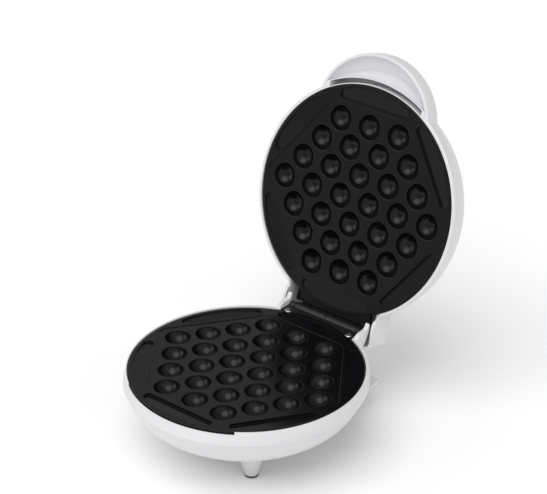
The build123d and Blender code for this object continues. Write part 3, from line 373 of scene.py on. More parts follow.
def dress(piece, material, body):
    """A finished piece gets its material and the body that it moves with."""
    piece.data.materials.clear()
    piece.data.materials.append(material)
    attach(piece, body)


def settle(piece, place):
    """A piece modelled about the middle of the closed plates goes to its real place."""
    piece.matrix_world = place @ piece.matrix_world
    take(piece)
    fix_place()


coating = finish_of("black non-stick coating", COATING_BLACK, roughness=0.22, spread=0.03,
                    fineness=1500, bump=0.12)
set_input(coating, "Specular IOR Level", COATING_SHINE)

lower_plate = cast_plate("lower_cast_plate")
for side in (-1, 1):
    scallop = cylinder(SCALLOP_R, TONGUE_TOP, OVER, side * SCREW_X, SCREW_Y, SCREW_ROUND)
    combine(lower_plate, scallop, "DIFFERENCE")
smooth(lower_plate)
flatten(lower_plate)
settle(lower_plate, LOWER_PLACE)
dress(lower_plate, coating, "base")
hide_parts("base_plate")

# The upper cast plate: the same casting turned face down over the lower one. In the open lid
# it faces the front. Its place comes from the hinge, whose closing angle is turned back.

hinge = frame["joints"][0]
AXIS = Vector(hinge["pos_m"])
OPEN_ANGLE = hinge["range_deg"][1]
FLIP = Matrix.Scale(-1, 4, (0, 0, 1))
SWING = Matrix.Rotation(math.radians(-OPEN_ANGLE), 4, "X")
UPPER_PLACE = Matrix.Translation(AXIS) @ SWING @ Matrix.Translation(-AXIS) @ LOWER_PLACE


def turn_over(piece):
    """The piece becomes its own mirror image below the parting plane, facing outwards again."""
    settle(piece, FLIP)
    edit_all()
    bpy.ops.mesh.normals_make_consistent(inside=False)
    leave_edit()


upper_plate = cast_plate("upper_cast_plate")
turn_over(upper_plate)
smooth(upper_plate)
flatten(upper_plate)
settle(upper_plate, UPPER_PLACE)
dress(upper_plate, coating, "lid")
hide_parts("lid_plate")

# The lower shell: one deep white moulding, slightly glossy. A ledge in its rim carries the
# plate, a notch at the front gives the fingers a hold, a leaning band runs under the rim and
# the body steps in below it. At the back the two ears of the hinge stand in a flat recess.

SHELL_WALL = 0.0025
RIM = -0.0003
RIM_ROUND = 0.0007
SEAT_R = 0.1008
LEDGE_R = 0.0958
LEDGE_T = 0.0025
BASE_R = 0.1044
BASE_DEPTH = 0.0460
BASE_FLAT_R = 0.0600
BASE_BAND = 0.0060
OUTSIDE_R = BASE_R + 2 * OVER
BAND_TOP_R = 0.10120
BAND_LOW_R = 0.10610
BAND_LOW = -0.0170
BAND_SHIFT = 0.0014
BAND_FOOT = -0.0125
BODY_R = 0.1024
BODY_SHIFT = -0.0013
BODY_WALL = 0.0056
NOTCH_IN_R = SEAT_R - SHELL_WALL / 8
NOTCH_DEPTH = 0.0030
NOTCH_HALF_ANGLE = 35
RECESS_HALF = 0.0475
RECESS_Y = 0.1006
GAP_HALF = TONGUE_HALF + SHELL_WALL / 8
EAR_IN = 0.0409
EAR_OUT = 0.0452
EAR_EASE = 0.0009
EAR_SOFT_ABOVE = -0.0050
EAR_OUTLINE = ((0.0923, -0.0143), (0.0929, -0.0004), (0.0955, 0.0018), (0.0985, 0.0031),
               (0.1030, 0.0033), (0.1068, 0.0036), (0.1086, 0.0050), (0.1098, 0.0070),
               (0.1110, 0.0078), (0.1119, 0.0066), (0.1121, 0.0035), (0.1112, -0.0003),
               (0.1084, -0.0042), (0.1052, -0.0074), (0.1034, -0.0098), (0.1006, -0.0143))
POST_AT = 0.0548
POST_R = 0.0071
POST_TOP = -0.0295
POST_ROUND = 32
HEAD_SEAT = -0.0320
HEAD_WELL_R = 0.0042
LEG_AT = 0.0330
LEG_TOP_R = 0.0138
LEG_TIP_R = 0.0063
LEG_FLARE = 0.0012
TIP_EASE = 0.0005
PAD_TOP = -0.0762
GLAND_TILT = 210.06
GLAND_AT = (0, 0.0812, -0.03965)
GLAND_HOLE_R = 0.00555
FILL_ROUND = 96
SMALL_ROUND = 64
WHITE = (0.66, 0.66, 0.675)


def tilt(piece, degrees, place):
    """A piece modelled upright is turned about the direction of the hinge and put in place."""
    take(piece)
    piece.rotation_euler = (math.radians(degrees), 0, 0)
    piece.location = place
    return fix_place()


def chain(points):
    """A line of vertices through some points, grown from the middle of a plane."""
    deselect()
    bpy.ops.mesh.primitive_plane_add(size=OVER)
    piece = bpy.context.object
    bpy.ops.object.mode_set(mode="EDIT")
    bpy.ops.mesh.select_mode(type="VERT")
    bpy.ops.mesh.select_all(action="SELECT")
    bpy.ops.mesh.merge(type="CENTER")
    bpy.ops.transform.translate(value=points[0])
    for near, far in zip(points, points[1:]):
        step = [b - a for a, b in zip(near, far)]
        bpy.ops.mesh.extrude_region_move(TRANSFORM_OT_translate={"value": step})
    leave_edit()
    return piece


def face_outwards(piece):
    """Doubled vertices are merged, and all faces look outwards."""
    take(piece)
    edit_all()
    bpy.ops.mesh.remove_doubles(threshold=WELD)
    bpy.ops.mesh.normals_make_consistent(inside=False)
    leave_edit()


def lathe(profile, x=0, y=0, steps=LARGE_ROUND):
    """An outline of (radius, level) points spun round an upright axis."""
    piece = chain([(radius, 0, level) for radius, level in profile])
    edit_all()
    bpy.ops.mesh.spin(steps=steps, angle=math.radians(360), center=(0, 0, 0), axis=(0, 0, 1))
    leave_edit()
    face_outwards(piece)
    piece.location = (x, y, 0)
    return fix_place()


def slab(points, push):
    """A flat outline filled and pushed out into a solid."""
    piece = chain(points)
    edit_all()
    bpy.ops.mesh.edge_face_add()
    bpy.ops.mesh.extrude_region_move(TRANSFORM_OT_translate={"value": push})
    leave_edit()
    face_outwards(piece)
    return piece


def side_slab(outline, low, high):
    """An outline of (y, level) points drawn along the hinge."""
    return slab([(low, y, z) for y, z in outline], (high - low, 0, 0))


def arc(middle, semi, start, sweep, steps):
    """Points along a part of an ellipse, with angles in degrees."""
    points = []
    for step in range(steps + 1):
        out, up = polar(1, start + sweep * step / steps)
        points.append((middle[0] + semi[0] * out, middle[1] + semi[1] * up))
    return points


def bowl_line(inset, steps, radius=BASE_R):
    """The bowl's outline from its flat bottom up to the band, moved in by an amount."""
    semi = (radius - BASE_FLAT_R - inset, BASE_DEPTH - BASE_BAND - inset)
    return arc((BASE_FLAT_R, -BASE_BAND), semi, -90, 90, steps)


def bowl():
    """The whole bowl with its rim, the seat and ledge of the plate, and its hollow."""
    rim = [(BASE_R, RIM - 2 * RIM_ROUND), (BASE_R - RIM_ROUND / 3, RIM - RIM_ROUND / 2),
           (BASE_R - RIM_ROUND, RIM), (SEAT_R, RIM), (SEAT_R, BACK), (LEDGE_R, BACK),
           (LEDGE_R, BACK - LEDGE_T), (BASE_R - SHELL_WALL, BACK - LEDGE_T)]
    semi = (BASE_R - BASE_FLAT_R - BODY_WALL, BASE_DEPTH - BASE_BAND - SHELL_WALL)
    inside = arc((BASE_FLAT_R, -BASE_BAND), semi, -90, 90, steps=16)[:-2]
    return lathe([(0, -BASE_DEPTH), *bowl_line(0, steps=28), *rim, *reversed(inside),
                  (0, -BASE_DEPTH + SHELL_WALL)])


def mirrored(points):
    """The same places on both sides of the middle plane."""
    return [(side * x, y) for side in (1, -1) for x, y in points]


def post_places():
    """The four screw posts, which stand in a square."""
    return mirrored([(POST_AT, POST_AT), (POST_AT, -POST_AT)])


def inner_walls():
    """The wall of the flat recess and the screw posts, as far as the bowl's outline."""
    wall = block((-RECESS_HALF - SHELL_WALL, RECESS_Y - SHELL_WALL, -BASE_DEPTH),
                 (RECESS_HALF + SHELL_WALL, RECESS_Y, BACK))
    posts = [cylinder(POST_R, -BASE_DEPTH, POST_TOP, x, y, POST_ROUND) for x, y in post_places()]
    half = SHELL_WALL / 2
    fill = [(0, half - BASE_DEPTH), *bowl_line(half, steps=12), (BASE_R - half, 0), (0, 0)]
    inner = gather([wall, *posts])
    combine(inner, lathe(fill, steps=FILL_ROUND), "INTERSECT")
    return inner


def band_cutter():
    """All that lies outside the band, which leans in towards the rim."""
    around = [(BAND_TOP_R, OVER), (OUTSIDE_R, OVER), (OUTSIDE_R, BAND_LOW),
              (BAND_LOW_R, BAND_LOW), (BAND_TOP_R, OVER)]
    return lathe(around, y=BAND_SHIFT)


def body_cutter():
    """All that lies outside the body, which steps in under the band."""
    below = -BASE_DEPTH - OVER
    outline = bowl_line(0, steps=28, radius=BODY_R)
    body = [point for point in outline if point[1] < BAND_FOOT - SHELL_WALL]
    under = [(OUTSIDE_R, below), (BASE_FLAT_R, below), *body, (BODY_R, BAND_FOOT),
             (OUTSIDE_R, BAND_FOOT), (OUTSIDE_R, below)]
    return lathe(under, y=BODY_SHIFT)


def notch_cutter():
    """The part of a ring that sinks the hold for the fingers into the rim."""
    out_r = BASE_R + OVER
    notch = lathe([(NOTCH_IN_R, -NOTCH_DEPTH), (out_r, -NOTCH_DEPTH), (out_r, OVER),
                   (NOTCH_IN_R, OVER), (NOTCH_IN_R, -NOTCH_DEPTH)])
    for side in (1, -1):
        x, y = polar(1, 270 + side * (NOTCH_HALF_ANGLE + 90))
        slice_off(notch, (0, 0, 0), (x, y, 0))
    return notch


def ear(side):
    """One ear beside the hinge, with soft edges round its upper part."""
    low, high = sorted((side * EAR_IN, side * EAR_OUT))
    piece = side_slab(EAR_OUTLINE, low, high)
    ease(piece, lambda a, b: abs(a.x - b.x) < NEAR and max(a.z, b.z) > EAR_SOFT_ABOVE,
         EAR_EASE, segments=3)
    return piece


def leg(x, y, root, root_r):
    """A tapered leg with a soft root and a rounded tip."""
    return lathe([(0, root), (root_r + LEG_FLARE, root),
                  (root_r + LEG_FLARE / 2, root - LEG_FLARE), (root_r, root - 3 * LEG_FLARE),
                  (LEG_TIP_R, PAD_TOP + TIP_EASE), (LEG_TIP_R - TIP_EASE, PAD_TOP),
                  (0, PAD_TOP)], x, y, SMALL_ROUND)


def lower_shell():
    """The lower shell in one piece."""
    shell = bowl()
    shell.name = "lower_shell"
    behind = block((-RECESS_HALF, RECESS_Y, -BASE_DEPTH), (RECESS_HALF, BASE_R + OVER, OVER))
    combine(shell, behind, "DIFFERENCE")
    combine(shell, inner_walls(), "UNION")
    gap = block((-GAP_HALF, TONGUE_ROOT, BACK), (GAP_HALF, BASE_R, OVER))
    combine(shell, gap, "DIFFERENCE")
    for cutter in (band_cutter, body_cutter, notch_cutter):
        combine(shell, cutter(), "DIFFERENCE")
    for side in (1, -1):
        combine(shell, ear(side), "UNION")
    legs = [leg(x, y, SHELL_WALL / 2 - BASE_DEPTH, LEG_TOP_R)
            for x, y in mirrored([(LEG_AT, -LEG_AT)])]
    combine(shell, gather(legs), "UNION")
    wells = [cylinder(HEAD_WELL_R, -2 * BASE_DEPTH, HEAD_SEAT, x, y, POST_ROUND)
             for x, y in post_places()]
    combine(shell, gather(wells), "DIFFERENCE")
    hole = cylinder(GLAND_HOLE_R, -2 * OVER, 2 * OVER, sides=SCREW_ROUND)
    combine(shell, tilt(hole, GLAND_TILT, GLAND_AT), "DIFFERENCE")
    return shell


white = finish_of("white moulded plastic", WHITE, roughness=0.34, spread=0.03,
                  fineness=400, bump=0.02, coat=0.2)
shell = lower_shell()
smooth(shell)
settle(shell, LOWER_PLACE)
dress(shell, white, "base")
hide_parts("base_shell")

# The rear stand: a flat white foot plate under the back of the bowl, screwed to it through a
# block, with the two rear legs moulded on.

STAND_TOP = -0.0505
STAND_T = 0.0027
STAND_LOW = STAND_TOP - STAND_T
STAND_FRONT = 0.0640
STAND_BACK = 0.1206
STAND_FRONT_HALF = 0.0576
STAND_BACK_HALF = 0.0500
STAND_CORNER = 0.0020
STAND_EASE = 0.0004
NECK_HALF = 0.0240
NECK_FRONT = 0.0420
NECK_BACK = 0.0560
REAR_LEG_X = 0.0280
REAR_LEG_Y = 0.0960
REAR_LEG_TOP_R = 0.0110


def rear_stand():
    """The foot plate, its neck and block, and two legs."""
    corners = [(STAND_FRONT_HALF, STAND_FRONT), (STAND_BACK_HALF, STAND_BACK),
               (-STAND_BACK_HALF, STAND_BACK), (-STAND_FRONT_HALF, STAND_FRONT)]
    plate = slab([(x, y, STAND_LOW) for x, y in corners], (0, 0, STAND_T))
    plate.name = "rear_foot_plate"
    ease(plate, lambda a, b: abs(a.z - b.z) > STAND_T / 2, STAND_CORNER, segments=5)
    ease(plate, lambda a, b: abs(a.z - b.z) < NEAR, STAND_EASE, segments=2)
    neck = block((-NECK_HALF, NECK_FRONT, STAND_LOW),
                 (NECK_HALF, STAND_FRONT + STAND_CORNER, STAND_TOP))
    combine(plate, neck, "UNION")
    spacer = block((-NECK_HALF, NECK_FRONT, STAND_LOW), (NECK_HALF, NECK_BACK, -BASE_DEPTH))
    combine(plate, spacer, "UNION")
    for x, y in mirrored([(REAR_LEG_X, REAR_LEG_Y)]):
        combine(plate, leg(x, y, STAND_LOW + STAND_EASE, REAR_LEG_TOP_R), "UNION")
    return plate


stand = rear_stand()
smooth(stand)
settle(stand, LOWER_PLACE)
dress(stand, white, "base")
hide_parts("rear_stand")

# Four black rubber pads, pushed into the tips of the legs, and the black rubber bush where the
# mains cord enters the bowl.

PAD_R = 0.0060
PAD_EASE = 0.0006
PAD_LOW = -0.0780
GLAND_FLANGE_R = 0.0075
GLAND_FLANGE_T = 0.0020
GLAND_R = 0.0055
GLAND_BORE_R = 0.0032
GLAND_LENGTH = 0.0080
GLAND_EASE = 0.0005
RUBBER_BLACK = (0.018, 0.018, 0.018)


def pad(x, y):
    """One round pad with a soft lower edge."""
    return lathe([(0, PAD_LOW), (PAD_R - PAD_EASE, PAD_LOW), (PAD_R, PAD_LOW + PAD_EASE),
                  (PAD_R, PAD_TOP + PAD_EASE), (0, PAD_TOP + PAD_EASE)], x, y, SMALL_ROUND)


def cord_bush():
    """The bush with its flange and open bore, tilted into the wall of the bowl."""
    bush = lathe([(GLAND_BORE_R, -GLAND_LENGTH), (GLAND_R, -GLAND_LENGTH), (GLAND_R, 0),
                  (GLAND_FLANGE_R, 0), (GLAND_FLANGE_R, GLAND_FLANGE_T - GLAND_EASE),
                  (GLAND_FLANGE_R - GLAND_EASE, GLAND_FLANGE_T), (GLAND_BORE_R, GLAND_FLANGE_T),
                  (GLAND_BORE_R, -GLAND_LENGTH)], steps=SMALL_ROUND)
    bush.name = "cord_bush"
    return tilt(bush, GLAND_TILT, GLAND_AT)


rubber = finish_of("black rubber", RUBBER_BLACK, roughness=0.7, spread=0.05, fineness=900,
                   bump=0.08)
pads = gather([pad(x, y) for x, y in mirrored([(LEG_AT, -LEG_AT), (REAR_LEG_X, REAR_LEG_Y)])])
pads.name = "leg_pads"
smooth(pads)
settle(pads, LOWER_PLACE)
dress(pads, rubber, "base")
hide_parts("foot_pads")

bush = cord_bush()
smooth(bush)
settle(bush, LOWER_PLACE)
dress(bush, rubber, "base")
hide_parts("cord_gland")

# The upper shell: one white moulding like the lower one. A flat dome holds the plate, a round
# handle stands out at the front with a slot beside it and a scoop under it for the fingers,
# and a square hood at the back covers the hinge when the lid is shut.

LID_RIM = -RIM
LID_H = 0.0360
LID_FLAT_R = 0.0800
LID_SWELL = 0.0236
SIDE_POWER = 1.35
ROOF_POWER = 3
HANDLE_R = 0.0546
HANDLE_WIDEN = 1.075
HANDLE_Y = -0.0744
HANDLE_H = 0.0180
HANDLE_WALL = 0.0023
HANDLE_EASE = 0.0045
HANDLE_ROUND = 160
SLOT_IN_R = 0.1015
SLOT_R = 0.1059
SLOT_WINDOW_R = 0.0930
SLOT_H = 0.0155
SLOT_HALF = 0.0490
SLOT_FRONT = -2 * HANDLE_R - OVER
SCOOP_NEAR = 0.1066
SCOOP_FAR = 0.1270
SCOOP_DEPTH = 0.0120
SCOOP_ROOF = 0.0170
HOOD_HALF = 0.0500
HOOD_FRONT = 0.0840
HOOD_LEVEL = 0.0940
HOOD_SIDE = ((0.0940, LID_RIM), (0.0950, -0.0022), (0.0980, -0.0034), (0.1022, -0.0038),
             (0.1070, -0.0033), (0.1119, -0.0025), (0.1160, -0.0021), (0.1175, -0.0031))
HOOD_BACK = 0.1206
HOOD_LOW = -0.0058
HOOD_TOP = 0.0240
HOOD_DIP = 0.0020
HOOD_EASE = 0.0050
HOOD_WALL = 0.0025
LENS_X = 0.0110
LENS_Y = -0.0640
LENS_R = 0.0045
LENS_STEM_R = 0.0032
LENS_SINK = 0.0009
LENS_SEAT = LID_H - LENS_SINK
FIT = 0.00005


def crown_line(inset, steps):
    """The dome's outline from its rim up to the flat top, moved in by an amount."""
    points = []
    for step in range(steps + 1):
        out = math.cos(math.radians(90 * step / steps))
        up = (1 - out ** ROOF_POWER) ** (1 / SIDE_POWER)
        points.append((LID_FLAT_R + (LID_SWELL - inset) * out, (LID_H - inset) * up))
    return points


def soft_rim(radius):
    """The rounded lower edge of a wall, from its flat face up its outside."""
    return [(radius - RIM_ROUND, LID_RIM), (radius - RIM_ROUND / 3, LID_RIM + RIM_ROUND / 2),
            (radius, LID_RIM + 2 * RIM_ROUND)]


def dome_block():
    """The outside of the dome, still solid."""
    side = [point for point in crown_line(0, steps=32) if point[1] > LID_RIM + 4 * RIM_ROUND]
    return lathe([(0, LID_RIM), *soft_rim(LID_FLAT_R + LID_SWELL), *side, (0, LID_H)])


def dome_inside():
    """The seat of the plate, the ledge over it and the hollow of the dome."""
    low, high = -BACK, LEDGE_T - BACK
    wall = [point for point in crown_line(SHELL_WALL, steps=24) if point[1] > high]
    return lathe([(0, -OVER), (SEAT_R, -OVER), (SEAT_R, low), (LEDGE_R, low), (LEDGE_R, high),
                  (wall[0][0], high), *wall, (0, LID_H - SHELL_WALL)])


def widen(piece):
    """A round piece becomes slightly wider than it is long, as the handle is."""
    take(piece)
    piece.scale = (HANDLE_WIDEN, 1, 1)
    return fix_place()


def handle_block():
    """The handle: a low round body with a soft upper edge."""
    edge = arc((HANDLE_R - HANDLE_EASE, HANDLE_H - HANDLE_EASE), (HANDLE_EASE, HANDLE_EASE),
               0, 90, steps=8)
    body = lathe([(0, LID_RIM), *soft_rim(HANDLE_R), *edge, (0, HANDLE_H)], y=HANDLE_Y,
                 steps=HANDLE_ROUND)
    return widen(body)


def scoop():
    """The hollow for the fingers, deepest half way out and round like the handle."""
    middle = (SCOOP_NEAR + SCOOP_FAR) / 2
    dip = arc((middle, LID_RIM), (middle - SCOOP_NEAR, SCOOP_DEPTH), 180, -180, steps=20)
    ring = lathe([(SCOOP_FAR, -OVER), (SCOOP_NEAR, -OVER), *dip, (SCOOP_FAR, -OVER)])
    dish_r = HANDLE_R - HANDLE_WALL
    roof = arc((0, 0), (dish_r, SCOOP_ROOF), 0, 90, steps=20)
    dish = lathe([(0, -2 * OVER), (dish_r, -2 * OVER), *roof], y=HANDLE_Y)
    combine(ring, widen(dish), "INTERSECT")
    return ring


def slot_part(in_r, low):
    """The part of a ring that cuts the slot between the dome and the handle."""
    ring = lathe([(in_r, low), (SLOT_R, low), (SLOT_R, SLOT_H), (in_r, SLOT_H), (in_r, low)])
    front = block((-SLOT_HALF, SLOT_FRONT, low - OVER), (SLOT_HALF, 0, SLOT_H + OVER))
    combine(ring, front, "INTERSECT")
    return ring


def on_the_hood_edges(a, b):
    """The upright back corners of the hood and the edges round its top."""
    if abs(a.z - b.z) > HOOD_TOP / 2:
        return min(a.y, b.y) > HOOD_BACK - NEAR
    return min(a.z, b.z) > HOOD_TOP - 2 * HOOD_DIP and max(a.y, b.y) > HOOD_BACK - NEAR


def hood_block():
    """The outside of the hood, still solid, whose sides hang below the rim of the lid."""
    outline = [(HOOD_FRONT, LID_RIM), *HOOD_SIDE, (HOOD_BACK - HOOD_WALL, HOOD_LOW),
               (HOOD_BACK, HOOD_LOW), (HOOD_BACK, HOOD_TOP), (HOOD_FRONT, HOOD_TOP - HOOD_DIP)]
    hood = side_slab(outline, -HOOD_HALF, HOOD_HALF)
    ease(hood, on_the_hood_edges, HOOD_EASE, segments=6)
    return hood


def hood_inside():
    """The room for the hinge inside the hood, open below."""
    front, back = HOOD_FRONT - HOOD_WALL, HOOD_BACK - HOOD_WALL
    outline = [(front, -OVER), (HOOD_LEVEL, -OVER), (back, HOOD_LOW - 2 * HOOD_WALL),
               (back, HOOD_TOP - HOOD_WALL), (front, HOOD_TOP - HOOD_DIP - HOOD_WALL)]
    return side_slab(outline, HOOD_WALL - HOOD_HALF, HOOD_HALF - HOOD_WALL)


def upper_shell():
    """The upper shell in one piece."""
    shell = dome_block()
    shell.name = "upper_shell"
    combine(shell, handle_block(), "UNION")
    combine(shell, hood_block(), "UNION")
    combine(shell, dome_inside(), "DIFFERENCE")
    combine(shell, scoop(), "DIFFERENCE")
    combine(shell, hood_inside(), "DIFFERENCE")
    combine(shell, slot_part(SLOT_IN_R, -OVER), "DIFFERENCE")
    combine(shell, slot_part(SLOT_WINDOW_R, LEDGE_T - BACK), "DIFFERENCE")
    top = LID_H + OVER
    for x in (LENS_X, -LENS_X):
        seat = cylinder(LENS_R + FIT, LENS_SEAT, top, x, LENS_Y, SMALL_ROUND)
        combine(shell, seat, "DIFFERENCE")
        bore = cylinder(LENS_STEM_R + FIT, LENS_SEAT - OVER, top, x, LENS_Y, SCREW_ROUND)
        combine(shell, bore, "DIFFERENCE")
    return shell


upper = upper_shell()
smooth(upper)
settle(upper, UPPER_PLACE)
dress(upper, white, "lid")
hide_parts("lid_shell")

# The two lamp lenses on the front of the dome: clear tinted caps with a low crown and a stem
# through the shell, red for power and green for ready.

LENS_CROWN = 0.0010
LENS_CLEARNESS = 0.35
LENS_RED = (0.45, 0.012, 0.01)
LENS_GREEN = (0.02, 0.30, 0.05)


def lens(name, x, colour, slot_name):
    """One lens in its seat."""
    crown = arc((0, LID_H), (LENS_R, LENS_CROWN), 0, 90, steps=8)
    cap = lathe([(0, LENS_SEAT - SHELL_WALL), (LENS_STEM_R, LENS_SEAT - SHELL_WALL),
                 (LENS_STEM_R, LENS_SEAT), (LENS_R, LENS_SEAT), *crown], x, LENS_Y, SMALL_ROUND)
    cap.name = name
    smooth(cap)
    settle(cap, UPPER_PLACE)
    tint = finish_of(slot_name, colour, roughness=0.08, spread=0.02, fineness=700, bump=0.01,
                     coat=0.6)
    set_input(tint, "Transmission Weight", LENS_CLEARNESS)
    dress(cap, tint, "lid")
    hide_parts(slot_name)


lens("red_lamp_lens", LENS_X, LENS_RED, "red_lens")
lens("green_lamp_lens", -LENS_X, LENS_GREEN, "green_lens")

# The fixed half of the hinge: a painted steel bracket with a knuckle at each end, on the
# tongue of the lower plate, held by two bright round-headed screws, and the pin through it.

BARREL_R = 0.0039
BARREL_HALF = 0.0340
KNUCKLE_IN = 0.0343
KNUCKLE_OUT = 0.0403
KNUCKLE_EASE = 0.0004
BRACKET_LOW = TONGUE_TOP
BRACKET_T = 0.0020
BRACKET_TOP = BRACKET_LOW + BRACKET_T
BRACKET_FRONT = 0.0945
BRACKET_BACK = 0.1035
HINGE_Y = 0.1086
HINGE_Z = -0.0028
PIN_R = 0.0015
PIN_ROUND = 32
HEAD_R = 0.0034
HEAD_T = 0.0011
SCREW_BITE = 0.0023
CROSS_W = 0.0007
CROSS_REACH = 0.0018
CROSS_DEPTH = 0.0007
PAINT_BLACK = (0.006, 0.006, 0.007)
ZINC = (0.50, 0.51, 0.52)


def along_hinge(profile, middle=0, steps=SMALL_ROUND):
    """An outline of (radius, place) points spun round the hinge axis."""
    bar = lathe(profile, steps=steps)
    bar.rotation_euler = (0, math.radians(90), 0)
    bar.location = (middle, HINGE_Y, HINGE_Z)
    return fix_place()


def round_bar(radius, half, edge):
    """The outline of a bar with eased ends."""
    return [(0, -half), (radius - edge, -half), (radius, edge - half), (radius, half - edge),
            (radius - edge, half), (0, half)]


def bracket():
    """The flange on the tongue, the lugs round its screws and the two knuckles."""
    flange = block((-KNUCKLE_OUT, BRACKET_FRONT, BRACKET_LOW),
                   (KNUCKLE_OUT, BRACKET_BACK, BRACKET_TOP))
    flange.name = "hinge_bracket_with_knuckles"
    combine(flange, cylinder(PLATE_R + FIT, -OVER, OVER), "DIFFERENCE")
    half = (KNUCKLE_OUT - KNUCKLE_IN) / 2
    for side in (1, -1):
        lug = cylinder(HEAD_R, BRACKET_LOW, BRACKET_TOP, side * SCREW_X, SCREW_Y, SCREW_ROUND)
        combine(flange, lug, "UNION")
        low, high = sorted((side * KNUCKLE_IN, side * KNUCKLE_OUT))
        arm = block((low, BRACKET_BACK - BRACKET_T, BRACKET_LOW), (high, HINGE_Y, BRACKET_TOP))
        combine(flange, arm, "UNION")
        knuckle = along_hinge(round_bar(BARREL_R, half, KNUCKLE_EASE), side * (KNUCKLE_IN + half))
        combine(flange, knuckle, "UNION")
    combine(flange, along_hinge(round_bar(PIN_R, 2 * KNUCKLE_OUT, 0)), "DIFFERENCE")
    return flange


def cross_recess(x, y, low, high):
    """A cross of two bars that sinks the recess of a screw head."""
    half = CROSS_W / 2
    bar = block((x - CROSS_REACH, y - half, low), (x + CROSS_REACH, y + half, high))
    other = block((x - half, y - CROSS_REACH, low), (x + half, y + CROSS_REACH, high))
    combine(bar, other, "UNION")
    return bar


def bracket_screw(x):
    """One screw of the bracket, head up, with a domed head and a cross recess."""
    crown = arc((0, BRACKET_TOP), (HEAD_R, HEAD_T), 0, 90, steps=8)
    tip = BRACKET_LOW - SCREW_BITE
    screw = lathe([(0, tip), (PIN_R, tip), (PIN_R, BRACKET_TOP), *crown], x, SCREW_Y, SCREW_ROUND)
    top = BRACKET_TOP + HEAD_T
    combine(screw, cross_recess(x, SCREW_Y, top - CROSS_DEPTH, top + OVER), "DIFFERENCE")
    return screw


hinge_paint = finish_of("dark grey hinge paint", PAINT_BLACK, roughness=0.42, spread=0.04,
                        fineness=900, bump=0.04)
zinc = finish_of("bright zinc plate", ZINC, roughness=0.20, spread=0.04, fineness=1200,
                 bump=0.03, metallic=1.0)
fixed_half = bracket()
smooth(fixed_half)
settle(fixed_half, LOWER_PLACE)
dress(fixed_half, hinge_paint, "base")
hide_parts("hinge_bracket")

bright_screws = gather([bracket_screw(SCREW_X), bracket_screw(-SCREW_X)])
bright_screws.name = "hinge_bracket_bright_screws"
smooth(bright_screws)
settle(bright_screws, LOWER_PLACE)
dress(bright_screws, zinc, "base")
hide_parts("hinge_bracket_screws")

pin = along_hinge(round_bar(PIN_R - FIT, KNUCKLE_OUT, KNUCKLE_EASE / 2), steps=PIN_ROUND)
pin.name = "steel_hinge_pin"
smooth(pin)
settle(pin, LOWER_PLACE)
dress(pin, zinc, "base")
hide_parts("hinge_pin")

# The moving half of the hinge: a bent leaf screwed to the tongue of the upper plate, rolled
# into one long barrel with a groove round its middle.

LEAF_LOW = -BACK
LEAF_T = 0.0020
LEAF_TOP = LEAF_LOW + LEAF_T
LEAF_ROOT = 0.0946
LEAF_FRONT = HINGE_Y - BARREL_R
LEAF_CORNER = LEAF_T / 2
GROOVE_HALF = 0.0005
GROOVE_DEPTH = 0.0007


def leaf():
    """The leaf and its barrel, drawn as they lie with the lid shut."""
    outline = [(LEAF_ROOT, LEAF_LOW), (LEAF_FRONT, LEAF_LOW), (LEAF_FRONT, HINGE_Z),
               (HINGE_Y, HINGE_Z), (HINGE_Y, LEAF_TOP - LEAF_CORNER),
               (HINGE_Y - LEAF_CORNER, LEAF_TOP), (LEAF_ROOT, LEAF_TOP)]
    plate = side_slab(outline, -BARREL_HALF, BARREL_HALF)
    plate.name = "hinge_leaf_with_barrel"
    floor_r = BARREL_R - GROOVE_DEPTH
    profile = [(0, -BARREL_HALF), (BARREL_R - KNUCKLE_EASE, -BARREL_HALF),
               (BARREL_R, KNUCKLE_EASE - BARREL_HALF), (BARREL_R, -GROOVE_HALF),
               (floor_r, -GROOVE_HALF), (floor_r, GROOVE_HALF), (BARREL_R, GROOVE_HALF),
               (BARREL_R, BARREL_HALF - KNUCKLE_EASE), (BARREL_R - KNUCKLE_EASE, BARREL_HALF),
               (0, BARREL_HALF)]
    combine(plate, along_hinge(profile), "UNION")
    combine(plate, along_hinge(round_bar(PIN_R, 2 * BARREL_HALF, 0)), "DIFFERENCE")
    return plate


moving_half = leaf()
smooth(moving_half)
settle(moving_half, UPPER_PLACE)
dress(moving_half, hinge_paint, "lid")
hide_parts("hinge_leaf")

# The pieces inside the two halves keep the shapes of their solids. Each has the finish of its
# own trade: drawn steel tube, glazed ceramic, soft aluminium sheet, moulded resin and nylon.

INNER_FINISHES = {
    "element_steel": finish_of("drawn element tube", (0.16, 0.17, 0.16), roughness=0.42,
                               spread=0.06, fineness=600, bump=0.05, metallic=1.0),
    "ceramic": finish_of("glazed ceramic", (0.72, 0.69, 0.62), roughness=0.30,
                         spread=0.05, fineness=500, bump=0.03),
    "sheet_aluminium": finish_of("rolled aluminium", (0.60, 0.61, 0.62), roughness=0.38,
                                 spread=0.07, fineness=300, bump=0.03, metallic=1.0),
    "zinc_steel": zinc,
    "brown_resin": finish_of("brown moulded resin", (0.055, 0.024, 0.012), roughness=0.45,
                             spread=0.05, fineness=800, bump=0.04),
    "sleeve": finish_of("white glass sleeve", (0.68, 0.66, 0.60), roughness=0.75,
                        spread=0.08, fineness=1400, bump=0.15),
    "natural_nylon": finish_of("natural nylon", (0.70, 0.68, 0.60), roughness=0.48,
                               spread=0.04, fineness=500, bump=0.03),
    "board": finish_of("green circuit board", (0.02, 0.12, 0.045), roughness=0.40,
                       spread=0.05, fineness=700, bump=0.03),
    "lamp_glass": finish_of("lamp glass", (0.60, 0.55, 0.50), roughness=0.12,
                            spread=0.03, fineness=400, bump=0.01),
}
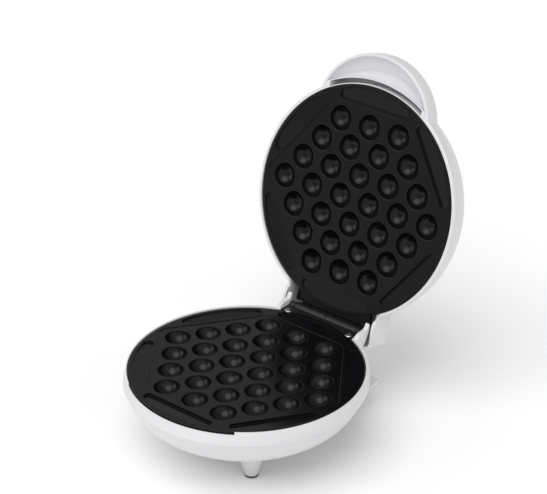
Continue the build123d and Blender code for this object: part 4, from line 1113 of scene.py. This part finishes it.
INNER_PIECES = {
    "element_steel": ("base_heating_element", "lid_heating_element"),
    "ceramic": ("base_element_beads", "lid_element_beads"),
    "sheet_aluminium": ("base_heat_shield", "lid_heat_shield"),
    "zinc_steel": ("base_screws", "rear_stand_screws", "thermostat_screws", "lid_shield_screws",
                   "lid_clip_screws", "hinge_leaf_screws", "lid_clips", "fuse_clip"),
    "brown_resin": ("thermostat",),
    "sleeve": ("thermal_fuse",),
    "natural_nylon": ("terminal_block",),
    "board": ("lamp_board",),
    "lamp_glass": ("signal_lamps",),
}
for slot_name, nodes in INNER_PIECES.items():
    for node in nodes:
        frame["nodes"][node].data.materials.clear()
        frame["nodes"][node].data.materials.append(INNER_FINISHES[slot_name])

# The setting: a plain pale floor in white surroundings, soft light from three sides, and the
# camera where the photograph was taken from.

FLOOR_SIZE = 8
FLOOR_WHITE = (0.95, 0.95, 0.95)
FLOOR_ROUGHNESS = 0.9
WORLD_WHITE = (1, 1, 1)
WORLD_POWER = 0.5
CAMERA_FROM_PLATE = Vector((1.0174, -1.1876, 0.9569))
CAMERA_AZIMUTH = 39.75
CAMERA_ELEVATION = 28.33
LENS = 143.2
SENSOR_WIDTH = 36
NEAREST_SEEN = 0.01
FARTHEST_SEEN = 20

deselect()
bpy.ops.mesh.primitive_plane_add(size=FLOOR_SIZE, location=(0, 0, 0))
floor = bpy.context.object
floor.name = "floor"
floor_finish = bpy.data.materials.new("pale floor")
floor_finish.use_nodes = True
set_input(floor_finish, "Base Color", (*FLOOR_WHITE, 1))
set_input(floor_finish, "Roughness", FLOOR_ROUGHNESS)
floor.data.materials.append(floor_finish)


def soft_light(name, azimuth, elevation, spread, power):
    """An even light from one side of the studio, as soft as its spread in degrees is wide."""
    light = bpy.data.lights.new(name, "SUN")
    light.angle = math.radians(spread)
    light.energy = power
    lamp = bpy.data.objects.new(name, light)
    bpy.context.scene.collection.objects.link(lamp)
    lamp.rotation_euler = (math.radians(90 - elevation), 0, math.radians(azimuth))


soft_light("high light", azimuth=10, elevation=62, spread=50, power=1.5)
soft_light("left light", azimuth=-36, elevation=26, spread=30, power=0.38)
soft_light("right light", azimuth=58, elevation=32, spread=80, power=0.65)

world = bpy.data.worlds.new("white surroundings")
world.use_nodes = True
world.node_tree.nodes["Background"].inputs["Color"].default_value = (*WORLD_WHITE, 1)
world.node_tree.nodes["Background"].inputs["Strength"].default_value = WORLD_POWER
bpy.context.scene.world = world
bpy.context.scene.view_settings.view_transform = "Standard"

camera_data = bpy.data.cameras.new("camera")
camera_data.lens = LENS
camera_data.sensor_width = SENSOR_WIDTH
camera_data.clip_start = NEAREST_SEEN
camera_data.clip_end = FARTHEST_SEEN
camera = bpy.data.objects.new("camera", camera_data)
bpy.context.scene.collection.objects.link(camera)
camera.location = MIDDLE + CAMERA_FROM_PLATE
camera.rotation_euler = (math.radians(90 - CAMERA_ELEVATION), 0, math.radians(CAMERA_AZIMUTH))
bpy.context.scene.camera = camera
